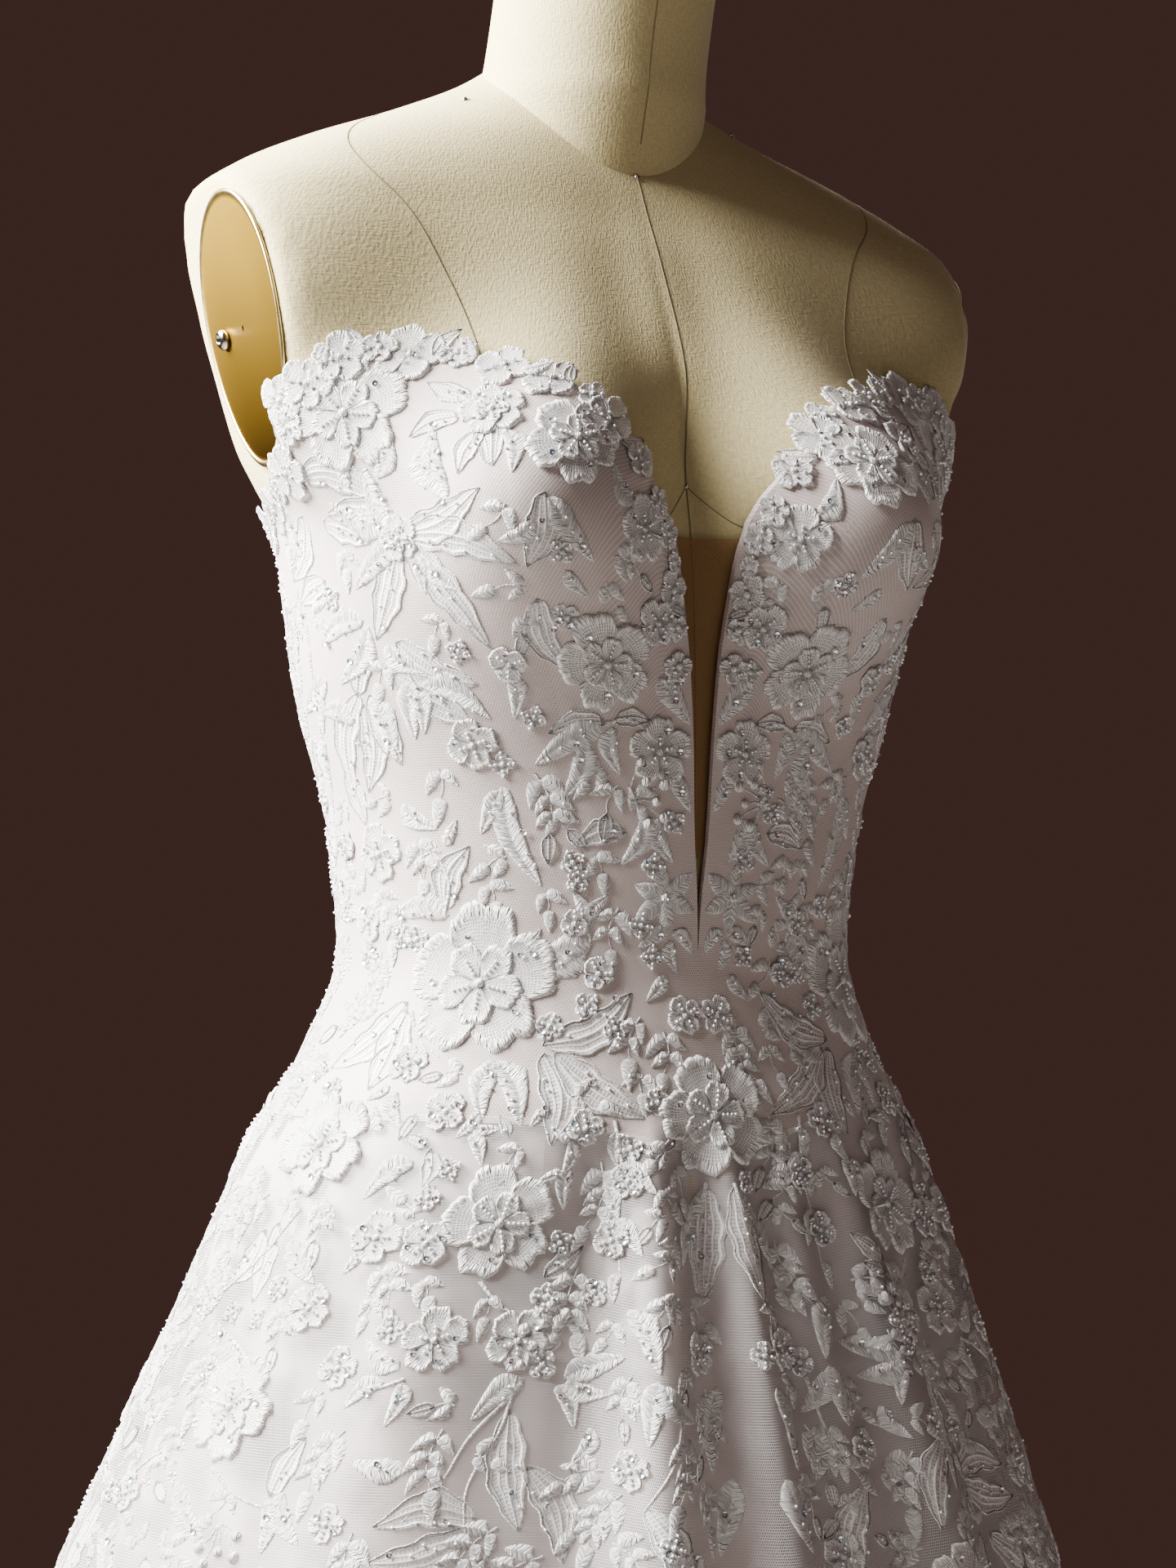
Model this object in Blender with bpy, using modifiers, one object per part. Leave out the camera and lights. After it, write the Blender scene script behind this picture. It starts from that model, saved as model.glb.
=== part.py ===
"""A strapless wedding dress on its dress form.

The dress is cut as the real one is: a boned bodice of eight panels with a deep plunge and a
net inset, a gored satin lining and a gored tulle overlay, lace at the neckline, lace flowers
and a row of covered buttons at the back. It stands on a limbless form with a pole and a base.

Metres, +Z up. The wearer faces -Y and the wearer's left is +X. The origin is on the floor,
below the middle of the hem. Heights in the tables are measured from the waist. An angle is
measured round the body's axis from the centre front, and grows towards the wearer's left.
"""

import math
from collections import namedtuple

import bmesh
import bpy
import numpy as np
from mathutils import Vector
from mathutils.bvhtree import BVHTree

# ---------------------------------------------------------------- driving dimensions
WAIST = 1.09               # height of the waist above the floor
AXIS_Y = -0.1159           # the body's axis stands in front of the middle of the hem
AXIS_X = -0.0006           # and this far to the side of it, because the folds are uneven
SEAM = 0.0003              # gap between pieces that meet
FORM_GAP = 0.0016          # gap between the form and the bodice
BODICE_WALL = 0.0024       # satin, boning, net and lace together
SKIRT_WALL = 0.0010        # one skirt layer
WAIST_SEAM = -0.070        # the bodice ends and the skirt starts here
WAIST_DIP = 0.015          # and this much lower at the centre front
HEM_LINING = -1.076        # hem heights, just clear of the floor
HEM_TULLE = -1.080
LACE_GAP = 0.0008          # lace lies this far off the panel under it
LACE_THICK = 0.0014

# ---------------------------------------------------------------- sections of the body
# height: above the waist; half_width, front, back: reach from the section's centre;
# centre: the centre's place along Y; square: 2 is an ellipse and more is squarer.
Section = namedtuple("Section", "height half_width front back centre square")

FORM = [Section(*row) for row in (
    (-0.260, 0.1630, 0.1220, 0.1180, 0.004, 2.10),
    (-0.180, 0.1630, 0.1200, 0.1200, 0.004, 2.10),
    (-0.100, 0.1500, 0.1130, 0.1000, 0.003, 2.15),
    (-0.050, 0.1325, 0.1020, 0.0830, 0.001, 2.20),
    (0.000, 0.1145, 0.0915, 0.0720, -0.002, 2.25),
    (0.050, 0.1200, 0.0905, 0.0750, -0.005, 2.25),
    (0.120, 0.1380, 0.0870, 0.0810, -0.008, 2.30),
    (0.180, 0.1460, 0.0800, 0.0890, -0.008, 2.40),
    (0.205, 0.1590, 0.0750, 0.0880, -0.008, 2.60),
    (0.220, 0.1670, 0.0720, 0.0860, -0.007, 2.70),
    (0.250, 0.1780, 0.0660, 0.0830, -0.005, 2.80),
    (0.280, 0.1880, 0.0620, 0.0800, -0.001, 2.80),
    (0.310, 0.1930, 0.0590, 0.0780, 0.004, 2.70),
    (0.328, 0.1900, 0.0570, 0.0750, 0.008, 2.60),
    (0.344, 0.1700, 0.0560, 0.0730, 0.012, 2.40),
    (0.360, 0.1380, 0.0540, 0.0700, 0.016, 2.25),
    (0.378, 0.0930, 0.0500, 0.0670, 0.020, 2.10),
    (0.395, 0.0560, 0.0450, 0.0610, 0.022, 2.00),
    (0.412, 0.0300, 0.0260, 0.0340, 0.020, 2.00),
)]
SKIRT = [Section(*row) for row in (
    (-1.080, 0.5070, 0.4700, 0.4710, 0.115, 2.00),
    (-0.850, 0.4370, 0.3900, 0.4030, 0.090, 2.02),
    (-0.600, 0.3450, 0.3070, 0.3180, 0.062, 2.05),
    (-0.400, 0.2750, 0.2340, 0.2400, 0.040, 2.10),
    (-0.240, 0.2170, 0.1760, 0.1780, 0.022, 2.10),
    (-0.170, 0.1900, 0.1480, 0.1460, 0.012, 2.10),
    (-0.100, 0.1650, 0.1210, 0.1100, 0.004, 2.15),
    (-0.070, 0.1500, 0.1130, 0.0980, 0.002, 2.20),
)]
SKIRT_FROM = (-0.045, -0.080)    # between these heights the cloth leaves the form's shape

# A bust mound: its angle and height, how far it stands out, and its spread each way.
Mound = namedtuple("Mound", "angle height reach spread_angle spread_up spread_down")
FORM_BUST = Mound(38, 0.190, 0.0515, 17.5, 0.055, 0.043)
CUP = Mound(38, 0.190, 0.0545, 17.5, 0.055, 0.043)
BRIDGE = Mound(0, 0.140, 0.0040, 14, 0.085, 0.085)   # the cloth beside the plunge stands off
CORNER = Mound(71, 0.222, 0.0024, 12, 0.03, 0.03)    # and in front of the armhole

# The armholes are cut by slanted planes: half width at PLATE_HEIGHT, and the lean.
PLATE_X, PLATE_HEIGHT, PLATE_LEAN = 0.172, 0.268, 0.20
PLATE_Y, PLATE_HALF_WIDTH, PLATE_HALF_HEIGHT = -0.0085, 0.0385, 0.0590
PLATE_EGG = 0.12
ARM_CLEAR, ARM_SOFT = 0.0040, 0.0015     # how the bodice rounds off where it meets that plane
ARM_LOW, ARM_FADE = 0.195, 0.10          # the plane cuts nothing below this height
PLATE_THICK = 0.0016
BOLT_Y, BOLT_HEIGHT, BOLT_RADIUS, BOLT_THICK = 0.0115, 0.266, 0.0045, 0.0030
BOLT_PROFILE = ((1.0, 0.0), (1.0, 0.6), (0.6, 1.0))   # shares of the radius and the thickness

NECK_RADIUS, NECK_FLARE, NECK_FLARE_HEIGHT = 0.0505, 0.0030, 0.012
NECK_TOP, NECK_SEAT = 0.475, 0.335
NECK_ROOT, NECK_Y, NECK_LEAN = 0.36, 0.006, -0.30   # the neck's centre at this height, and its lean
NECK_FLARE_FROM = 0.385
NECK_RINGS = (0.370, 0.400, 0.420)

FORM_BOTTOM = FORM[0].height
FORM_RINGS = (
    FORM_BOTTOM, -0.20, -0.14, -0.10, -0.07, -0.05, -0.03, -0.01, 0.01, 0.03, 0.055, 0.08, 0.105,
    0.13, 0.15, 0.17, 0.19, 0.21, 0.235, 0.262, 0.29, 0.31, 0.325, 0.338, 0.35, 0.364, 0.380,
    0.396, FORM[-1].height)
POLE_RADIUS = 0.016
BASE_RADIUS, BASE_THICK, BASE_EDGE = 0.200, 0.014, 0.003

# ---------------------------------------------------------------- edges and seams
# The top edge of the bodice, from the corner beside the plunge to the centre back.
Edge = namedtuple("Edge", "angle height")
NECKLINE = [Edge(*row) for row in (
    (11, 0.185), (14, 0.195), (18, 0.205), (22, 0.215), (28, 0.232), (38, 0.243), (50, 0.250),
    (60, 0.255), (70, 0.253), (75, 0.242), (79, 0.223), (85, 0.2075), (92, 0.1975),
    (100, 0.190), (110, 0.186), (125, 0.182), (150, 0.176), (180, 0.172),
)]
PLUNGE = [Edge(*row) for row in (
    (0, 0.000), (0.6, 0.022), (2.0, 0.050), (3.0, 0.090), (4.5, 0.125), (6.5, 0.150),
    (8.5, 0.170), (11.0, 0.185),
)]
FRONT_SEAM = [Edge(*row) for row in (
    (27, -0.085), (29, 0.0165), (33, 0.0645), (37, 0.1005), (40.5, 0.150), (46, 0.2445),
)]
SIDE_SEAM = [Edge(*row) for row in ((88, -0.085), (88, 0.260))]
BACK_SEAM = [Edge(*row) for row in ((140, -0.085), (136, 0.050), (128, 0.190))]
CENTRE_BACK = [Edge(*row) for row in ((180, -0.085), (180, 0.260))]

# The skirt's largest folds: angle, half width in degrees, height at the hem, first height.
Fold = namedtuple("Fold", "angle width height start")
FOLDS = [Fold(*row) for row in (
    (-17, 6.5, 0.042, -0.080), (7, 5.5, 0.040, -0.085), (30, 7.5, 0.036, -0.110),
    (54, 7.0, 0.042, -0.120), (77, 8.0, 0.038, -0.130), (101, 7.0, 0.044, -0.110),
    (123, 7.5, 0.040, -0.100), (146, 7.0, 0.048, -0.090), (168, 6.5, 0.044, -0.085),
    (-170, 6.5, 0.046, -0.085), (-148, 7.5, 0.044, -0.090), (-124, 7.0, 0.042, -0.100),
    (-101, 8.0, 0.038, -0.120), (-80, 8.0, 0.030, -0.140), (-49, 9.0, 0.034, -0.130),
)]
FOLD_VALLEY = 0.35         # share of a fold's height that its valleys go in
FOLD_VALLEY_WIDTH = 2.2    # and their width, in half widths of the ridge
FOLD_GROWTH = 0.75         # how the height grows down the skirt
LINING_FOLDS = 0.75        # the lining's folds are this much of the tulle's
LAYER_GAP = 0.0019         # between the outer faces of tulle and lining at the waist seam
LAYER_STAND = 0.0150       # the tulle stands off the lining by this at the hip
LAYER_HEM = 0.0240         # and by this at the hem
LAYER_HIP = -0.270

# ---------------------------------------------------------------- lace
# Flowers lie on one half and are mirrored: angle, height, radius, turn in degrees, lift over
# the lace edge, and whether it has a twin.
Flower = namedtuple("Flower", "name angle height radius turn lift twin")
FLOWERS = [Flower(*row) for row in (
    ("neckline_side", 67, 0.2230, 0.0270, 10, 0.0022, True),
    ("neckline_bust", 32, 0.2100, 0.0225, 40, 0.0022, True),
    ("plunge", 26, 0.1185, 0.0225, 20, 0.0006, True),
    ("waist_side", 52.5, -0.0110, 0.0330, 0, 0.0003, True),
    ("waist_centre", 0, -0.0690, 0.0270, 54, 0.0, False),
    ("hip_side", 76, -0.0860, 0.0240, 30, -0.0001, True),
    ("hip_front", 43, -0.1100, 0.0240, 15, 0.0, True),
    ("skirt_side", 74.5, -0.1900, 0.0240, 50, 0.0, True),
    ("rib_back", 112, 0.1050, 0.0290, 25, 0.0, True),
    ("waist_back", 146, -0.0200, 0.0280, 60, 0.0, True),
)]
PETALS = 5
PETAL_POINTS = (0.78, 0.98, 0.98)           # outline over one petal, as shares of the radius
PETAL_MID = 0.50                            # the inner ring
FLOWER_CENTRE, FLOWER_MID = 0.0026, 0.0020  # thickness at the centre and the inner ring

EDGE_BELOW, EDGE_ABOVE = 0.009, 0.0035      # the lace edge reaches this far off the neckline
EDGE_SCALLOP = 0.0085                       # and its petals rise by this much more
EDGE_WAVE = 0.0030                          # its lower edge waves by this
EDGE_MIDDLE = -0.0010                       # its middle row of points, off the neckline
EDGE_FIRST, EDGE_LAST = 0.060, 174.0        # from this height on the plunge to this angle
EDGE_STEPS, EDGE_PITCH = 50, 5              # columns on a side, and columns in a scallop
EDGE_LOW_AT, EDGE_LOW_SPREAD = 86, 9        # round this angle it stays below the armhole plate
EDGE_LOW, EDGE_NARROW = 1.10, 0.75          # how much lower there, and how much beside the plunge

BUTTONS, BUTTON_FIRST, BUTTON_PITCH = 7, 0.155, 0.034
BUTTON_RADIUS, BUTTON_HEIGHT = 0.0055, 0.0036
BUTTON_PROFILE = ((0.75, 0.0), (1.0, 0.3), (0.82, 0.72), (0.4, 1.0))
PLACKET_HALF, PLACKET_THICK, PLACKET_TOP, PLACKET_GAP = 0.0075, 0.0011, 0.168, 0.0006
PLACKET_LOW = BUTTON_FIRST - (BUTTONS - 1) * BUTTON_PITCH - 0.016
INSET_TOP, INSET_BOTTOM, INSET_TUCK, INSET_WALL = 0.178, 0.040, 0.004, 0.0010
INSET_GAP = 0.0009

COLUMNS_FORM, COLUMNS_NECK = 40, 28
ROWS_BODICE, ROWS_TULLE, ROWS_LINING = 14, 9, 7
COLUMNS_TULLE, COLUMNS_LINING = 16, 10
ROW_CROWDING = 1.35          # a skirt's rows crowd towards the waist, where its folds start
GORES = (("front", -36, 36), ("side_left", 36, 108), ("back_left", 108, 180),
         ("back_right", 180, 252), ("side_right", 252, 324))


# ---------------------------------------------------------------- curves and surfaces
def curve_through(xs, ys, x):
    """A monotone cubic through the points, so that it never overshoots them."""
    xs, ys, x = (np.asarray(values, float) for values in (xs, ys, x))
    step = np.diff(xs)
    rise = np.diff(ys) / step
    slope = np.zeros_like(ys)
    slope[0], slope[-1] = rise[0], rise[-1]
    for k in range(1, len(xs) - 1):
        if rise[k - 1] * rise[k] > 0:
            before, after = 2 * step[k] + step[k - 1], step[k] + 2 * step[k - 1]
            slope[k] = (before + after) / (before / rise[k - 1] + after / rise[k])
    i = np.clip(np.searchsorted(xs, x) - 1, 0, len(xs) - 2)
    t = np.clip((x - xs[i]) / step[i], 0, 1)
    start = ys[i] * (1 + 2 * t) * (1 - t) ** 2 + slope[i] * step[i] * t * (1 - t) ** 2
    end = ys[i + 1] * t * t * (3 - 2 * t) + slope[i + 1] * step[i] * t * t * (t - 1)
    return start + end


def read_table(rows, key, column, x):
    return curve_through([getattr(r, key) for r in rows], [getattr(r, column) for r in rows], x)


def ease(share):
    share = np.clip(share, 0, 1)
    return share * share * (3 - 2 * share)


def section_radius(rows, angle, height):
    """(radius, centre) of a section table in the direction of an angle in degrees."""
    across, along = np.sin(np.radians(angle)), np.cos(np.radians(angle))
    half, front, back, centre, square = (
        read_table(rows, "height", column, height) for column in Section._fields[1:])
    depth = np.where(along > 0, front, back)
    reach = (np.abs(across) / half) ** square + (np.abs(along) / depth) ** square
    return reach ** (-1 / square), centre


def turn_from(angle, other):
    """Degrees from one angle to another, the short way round."""
    return (np.asarray(angle) - other + 180) % 360 - 180


def mound(angle, height, shape):
    side = np.abs(turn_from(angle, 0)) - shape.angle
    up = height - shape.height
    spread = np.where(up > 0, shape.spread_up, shape.spread_down)
    return shape.reach * np.exp(-(side / shape.spread_angle) ** 2 / 2 - (up / spread) ** 2 / 2)


def form_radius(angle, height):
    radius, centre = section_radius(FORM, angle, height)
    return radius + mound(angle, height, FORM_BUST), centre


def arm_plane(height):
    return PLATE_X + PLATE_LEAN * (height - PLATE_HEIGHT)


def fold_height(angle, height):
    """How far the folds carry the tulle in or out."""
    total = np.zeros_like(angle + height)
    for fold in FOLDS:
        down = np.clip((fold.start - height) / (fold.start - HEM_TULLE), 0, 1) ** FOLD_GROWTH
        off = turn_from(angle, fold.angle) / fold.width
        ridge = np.exp(-off ** 2 / 2)
        valley = FOLD_VALLEY * np.exp(-(off / FOLD_VALLEY_WIDTH) ** 2 / 2)
        total = total + fold.height * down * (ridge - valley)
    return total


def dress_radius(angle, height, folds=1.0):
    """(radius, centre) of the cloth's outer face: the bodice above and the tulle below."""
    angle, height = np.broadcast_arrays(np.asarray(angle, float), np.asarray(height, float))
    snug, centre = section_radius(FORM, angle, height)
    for shape in (CUP, BRIDGE, CORNER):
        snug = snug + mound(angle, height, shape)
    across = np.maximum(np.abs(np.sin(np.radians(angle))), 1e-6)
    below = ease((ARM_LOW - height) / ARM_FADE)
    limit = (arm_plane(height) + ARM_CLEAR + below) / across
    snug = -ARM_SOFT * np.logaddexp(-snug / ARM_SOFT, -limit / ARM_SOFT)
    snug = snug + FORM_GAP + BODICE_WALL
    flare, flare_centre = section_radius(SKIRT, angle, height)
    top, bottom = SKIRT_FROM
    share = ease((top - height) / (top - bottom))
    radius = snug * (1 - share) + flare * share + folds * fold_height(angle, height)
    return radius, centre * (1 - share) + flare_centre * share


def layer_gap(height):
    hip = LAYER_STAND * ease((WAIST_SEAM - height) / (WAIST_SEAM - LAYER_HIP))
    below = np.clip((LAYER_HIP - height) / (LAYER_HIP - HEM_TULLE), 0, 1)
    return LAYER_GAP + hip + (LAYER_HEM - LAYER_STAND) * below


def point_at(angle, height, radius, centre):
    """World points from an angle, a height above the waist and a radius round a centre."""
    turned = np.radians(angle)
    x = AXIS_X + radius * np.sin(turned)
    y = AXIS_Y + centre - radius * np.cos(turned)
    return np.stack(np.broadcast_arrays(x, y, WAIST + np.asarray(height, float)), -1)


def lining_radius(angle, height):
    radius, centre = dress_radius(angle, height, LINING_FOLDS)
    return radius - layer_gap(height), centre


def inset_radius(angle, height):
    radius, centre = form_radius(angle, height)
    return radius + INSET_GAP + INSET_WALL, centre


def surface_point(surface, angle, height):
    return point_at(angle, height, *surface(angle, height))


def outward(angle, height, surface=dress_radius):
    """Unit normals of a surface."""
    around = surface_point(surface, angle + 0.2, height)
    around = around - surface_point(surface, angle - 0.2, height)
    up = surface_point(surface, angle, height + 0.001)
    up = up - surface_point(surface, angle, height - 0.001)
    normal = np.cross(around, up)
    return normal / np.linalg.norm(normal, axis=-1, keepdims=True)


def wall_points(surface, angle, height, wall):
    """Outer and inner points of a wall, level with each other, so that its edges stay level."""
    radius, centre = surface(angle, height)
    turned = np.radians(angle)
    level = np.stack([np.sin(turned), -np.cos(turned), np.zeros_like(turned)], -1)
    square_on = np.maximum((outward(angle, height, surface) * level).sum(-1), 0.5)
    inner = point_at(angle, height, radius - wall / square_on, centre)
    return point_at(angle, height, radius, centre), inner


def neckline(angle):
    return read_table(NECKLINE, "angle", "height", np.maximum(np.abs(angle), NECKLINE[0].angle))


def waist_seam(angle):
    return WAIST_SEAM - WAIST_DIP * np.exp(-(np.asarray(angle, float) / 25) ** 2)


def seam_angle(seam, height):
    return read_table(seam, "height", "angle", height)


# ---------------------------------------------------------------- making objects
def material(name, colour, roughness, metallic=0.0):
    made = bpy.data.materials.new(name)
    made.use_nodes = True
    shader = made.node_tree.nodes["Principled BSDF"]
    shader.inputs["Base Color"].default_value = (*colour, 1)
    shader.inputs["Roughness"].default_value = roughness
    shader.inputs["Metallic"].default_value = metallic
    made.diffuse_color = (*colour, 1)
    return made


def add_mesh(name, vertices, faces, finish):
    mesh = bpy.data.meshes.new(name)
    mesh.from_pydata([tuple(map(float, v)) for v in vertices], [], faces)
    mesh.materials.append(finish)
    mesh.shade_smooth()
    obj = bpy.data.objects.new(name, mesh)
    parts.objects.link(obj)
    return obj


def grid_faces(rows, columns, wrap=False):
    """Triangles of a grid whose rows run up and whose columns run towards the wearer's left."""
    faces = []
    for i in range(rows - 1):
        for j in range(columns if wrap else columns - 1):
            k = (j + 1) % columns
            low, high = i * columns, (i + 1) * columns
            faces.append((low + j, low + k, high + k))
            faces.append((low + j, high + k, high + j))
    return faces


def cloth(name, outer, inner, finish):
    """A panel: a wall between an outer and an inner grid of points, closed round its edge."""
    rows, columns = outer.shape[:2]
    skin = grid_faces(rows, columns)
    second = rows * columns
    faces = skin + [tuple(v + second for v in reversed(face)) for face in skin]
    rim = list(range(columns))
    rim += [i * columns + columns - 1 for i in range(1, rows)]
    rim += [(rows - 1) * columns + j for j in range(columns - 2, -1, -1)]
    rim += [i * columns for i in range(rows - 2, 0, -1)]
    for here, there in zip(rim, rim[1:] + rim[:1]):
        faces.append((there, here, here + second, there + second))
    points = np.concatenate([outer.reshape(-1, 3), inner.reshape(-1, 3)])
    return face_outward(add_mesh(name, points, faces, finish))


def loft(name, rings, finish):
    """A closed solid through rings of points, with flat ends."""
    count, columns = rings.shape[:2]
    faces = grid_faces(count, columns, wrap=True)
    faces.append(tuple(reversed(range(columns))))
    faces.append(tuple(range((count - 1) * columns, count * columns)))
    return face_outward(add_mesh(name, rings.reshape(-1, 3), faces, finish))


def face_outward(obj):
    bm = bmesh.new()
    bm.from_mesh(obj.data)
    bmesh.ops.recalc_face_normals(bm, faces=bm.faces)
    bm.to_mesh(obj.data)
    bm.free()
    return obj


# ---------------------------------------------------------------- the form
def neck_rings(grow, bottom, top):
    """Rings of the leaning neck, from a flat bottom inside the torso to its flat top."""
    angle = np.linspace(0, 360, COLUMNS_NECK, endpoint=False)
    rings = []
    for height in (bottom, *NECK_RINGS, top):
        flare = NECK_FLARE * math.exp(-max(height - NECK_FLARE_FROM, 0) / NECK_FLARE_HEIGHT)
        centre = NECK_Y + NECK_LEAN * (height - NECK_ROOT)
        rings.append(point_at(angle, height, NECK_RADIUS + flare + grow, centre))
    return np.array(rings)


def cut_flat(obj, point, normal, above):
    """Cuts the solid by a plane above a height, keeps what lies behind and closes the cut."""
    bm = bmesh.new()
    bm.from_mesh(obj.data)
    high = {v for v in bm.verts if v.co.z > above}
    reached = [item for item in bm.edges[:] + bm.faces[:] if set(item.verts) <= high]
    cut = bmesh.ops.bisect_plane(bm, geom=list(high) + reached, plane_co=point,
                                 plane_no=normal, clear_outer=True)
    rim = [item for item in cut["geom_cut"] if isinstance(item, bmesh.types.BMEdge)]
    bmesh.ops.contextual_create(bm, geom=rim)
    bm.to_mesh(obj.data)
    bm.free()


def make_form(linen, gold, chrome, steel):
    angle = np.linspace(0, 360, COLUMNS_FORM, endpoint=False)
    rings = [point_at(angle, h, *form_radius(angle, np.full_like(angle, h))) for h in FORM_RINGS]
    torso = loft("form_torso", np.array(rings), linen)
    for side in (-1, 1):
        point = (AXIS_X + side * PLATE_X, 0, WAIST + PLATE_HEIGHT)
        cut_flat(torso, point, (side, 0, -PLATE_LEAN), WAIST + ARM_LOW - 0.015)
    cutter = loft("neck_cutter", neck_rings(SEAM, NECK_SEAT - SEAM, NECK_TOP), linen)
    parts.objects.unlink(cutter)
    cutters.objects.link(cutter)
    cutter.hide_render = True
    cutter.display_type = "WIRE"
    socket = torso.modifiers.new("Neck socket", "BOOLEAN")
    socket.operation = "DIFFERENCE"
    socket.object = cutter
    loft("form_neck", neck_rings(0, NECK_SEAT, NECK_TOP), linen)
    for side, word in ((-1, "right"), (1, "left")):
        make_plate(side, word, gold, chrome)
    add_cylinder("stand_pole", POLE_RADIUS, BASE_THICK + SEAM, WAIST + FORM_BOTTOM - SEAM, steel)
    base = add_cylinder("stand_base", BASE_RADIUS, 0, BASE_THICK, steel, 48)
    bevel = base.modifiers.new("Edge", "BEVEL")
    bevel.width = BASE_EDGE
    bevel.limit_method = "ANGLE"


def make_plate(side, word, gold, chrome):
    """The plate that closes an armhole, and its bolt, built flat and laid on the slanted cut."""
    turn = np.linspace(0, 2 * math.pi, 40, endpoint=False)
    across = PLATE_HALF_WIDTH * np.sin(turn) * (1 + PLATE_EGG * np.cos(turn))
    up = PLATE_HALF_HEIGHT * np.cos(turn)
    lean = math.hypot(1, PLATE_LEAN)

    def lifted(y, height, out):
        x = arm_plane(height) + out * lean
        return np.stack([AXIS_X + side * x, AXIS_Y + y, WAIST + height], -1)

    rings = [lifted(PLATE_Y + across, PLATE_HEIGHT + up, out)
             for out in (SEAM, SEAM + PLATE_THICK)]
    loft(f"armplate_{word}", np.array(rings), gold)
    first = SEAM + PLATE_THICK + SEAM
    bolt_turn = np.linspace(0, 2 * math.pi, 14, endpoint=False)
    rings = [lifted(BOLT_Y + share * BOLT_RADIUS * np.sin(bolt_turn),
                    BOLT_HEIGHT + share * BOLT_RADIUS * np.cos(bolt_turn),
                    first + up_share * BOLT_THICK) for share, up_share in BOLT_PROFILE]
    loft(f"armplate_bolt_{word}", np.array(rings), chrome)


def add_cylinder(name, radius, low, high, finish, segments=24):
    mesh = bpy.data.meshes.new(name)
    bm = bmesh.new()
    bmesh.ops.create_cone(bm, cap_ends=True, segments=segments, radius1=radius,
                          radius2=radius, depth=high - low)
    bm.to_mesh(mesh)
    bm.free()
    mesh.materials.append(finish)
    obj = bpy.data.objects.new(name, mesh)
    obj.location = (AXIS_X, AXIS_Y, (low + high) / 2)
    parts.objects.link(obj)
    return obj


# ---------------------------------------------------------------- the dress
def panel_grid(first_seam, last_seam, columns, side):
    """Points of a bodice panel between two seams, from the waist seam up to the neckline."""
    across, up = np.meshgrid(np.linspace(0, 1, columns), np.linspace(0, 1, ROWS_BODICE + 1))
    height = WAIST_SEAM + up * (NECKLINE[-1].height - WAIST_SEAM)
    for _ in range(25):      # the seams lean, so heights and angles settle together
        near, far = seam_angle(first_seam, height), seam_angle(last_seam, height)
        angle = near + (far - near) * across
        low, high = waist_seam(angle), neckline(angle)
        height = low + (high - low) * up
    radius, _ = dress_radius(angle, height)
    gap = np.degrees(SEAM / 2 / radius)
    angle = angle + gap * np.where(across == 0, 1, 0) - gap * np.where(across == 1, 1, 0)
    outer, inner = wall_points(dress_radius, side * angle, height, BODICE_WALL)
    return (outer, inner) if side > 0 else (outer[:, ::-1], inner[:, ::-1])


def make_bodice(satin):
    seams = (
        ("centre_front", PLUNGE, FRONT_SEAM, 9), ("side_front", FRONT_SEAM, SIDE_SEAM, 9),
        ("side_back", SIDE_SEAM, BACK_SEAM, 7), ("back", BACK_SEAM, CENTRE_BACK, 6))
    for name, first, last, columns in seams:
        for side, word in ((1, "left"), (-1, "right")):
            outer, inner = panel_grid(first, last, columns, side)
            outer_faces.append(outer)
            cloth(f"bodice_{name}_{word}", outer, inner, satin)


def make_skirt(satin, tulle):
    """Two layers of five gores, which start just under the bodice."""
    layers = (("tulle", tulle, dress_radius, HEM_TULLE, COLUMNS_TULLE, ROWS_TULLE),
              ("lining", satin, lining_radius, HEM_LINING, COLUMNS_LINING, ROWS_LINING))
    for layer, finish, surface, hem, columns, rows in layers:
        for name, first, last in GORES:
            across, down = np.meshgrid(
                np.linspace(0, 1, columns + 1), np.linspace(1, 0, rows + 1) ** ROW_CROWDING)
            angle = first + (last - first) * across
            top = waist_seam(turn_from(angle, 0)) - SEAM
            height = top + (hem - top) * down
            gap = np.degrees(SEAM / 2 / dress_radius(angle, height)[0])
            angle = angle + gap * np.where(across == 0, 1, 0) - gap * np.where(across == 1, 1, 0)
            outer, inner = wall_points(surface, turn_from(angle, 0), height, SKIRT_WALL)
            if layer == "tulle":
                outer_faces.append(outer)
            cloth(f"skirt_{layer}_{name}", outer, inner, finish)


def make_inset(net):
    """The net that closes the plunge, tucked behind its edges close to the form."""
    across, up = np.meshgrid(np.linspace(-1, 1, 5), np.linspace(0, 1, 8))
    height = INSET_BOTTOM + (INSET_TOP - INSET_BOTTOM) * up
    radius, _ = form_radius(np.zeros_like(height), height)
    half = radius * np.radians(seam_angle(PLUNGE, height)) + INSET_TUCK
    angle = np.degrees(across * half / radius)
    cloth("plunge_inset", *wall_points(inset_radius, angle, height, INSET_WALL), net)


# ---------------------------------------------------------------- what lies on the dress
def lay_on_dress(angle, height, out):
    """Points moved out from the panels, or from the dress's surface where that lies outside."""
    angle, height, out = np.broadcast_arrays(
        np.asarray(angle, float), np.asarray(height, float), np.asarray(out, float))
    radius, centre = dress_radius(angle, height)
    points = point_at(angle, height, radius, centre)
    normals = outward(angle, height)
    laid = np.empty_like(points)
    for place in np.ndindex(angle.shape):
        axis = Vector((AXIS_X, AXIS_Y + float(centre[place]), WAIST + float(height[place])))
        toward = Vector(points[place]) - axis
        hit = panels.ray_cast(axis, toward.normalized(), toward.length + 0.01)[0]
        farther = hit and (hit - axis).length > toward.length
        laid[place] = hit if farther else points[place]
    return laid + normals * out[..., None]


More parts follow.
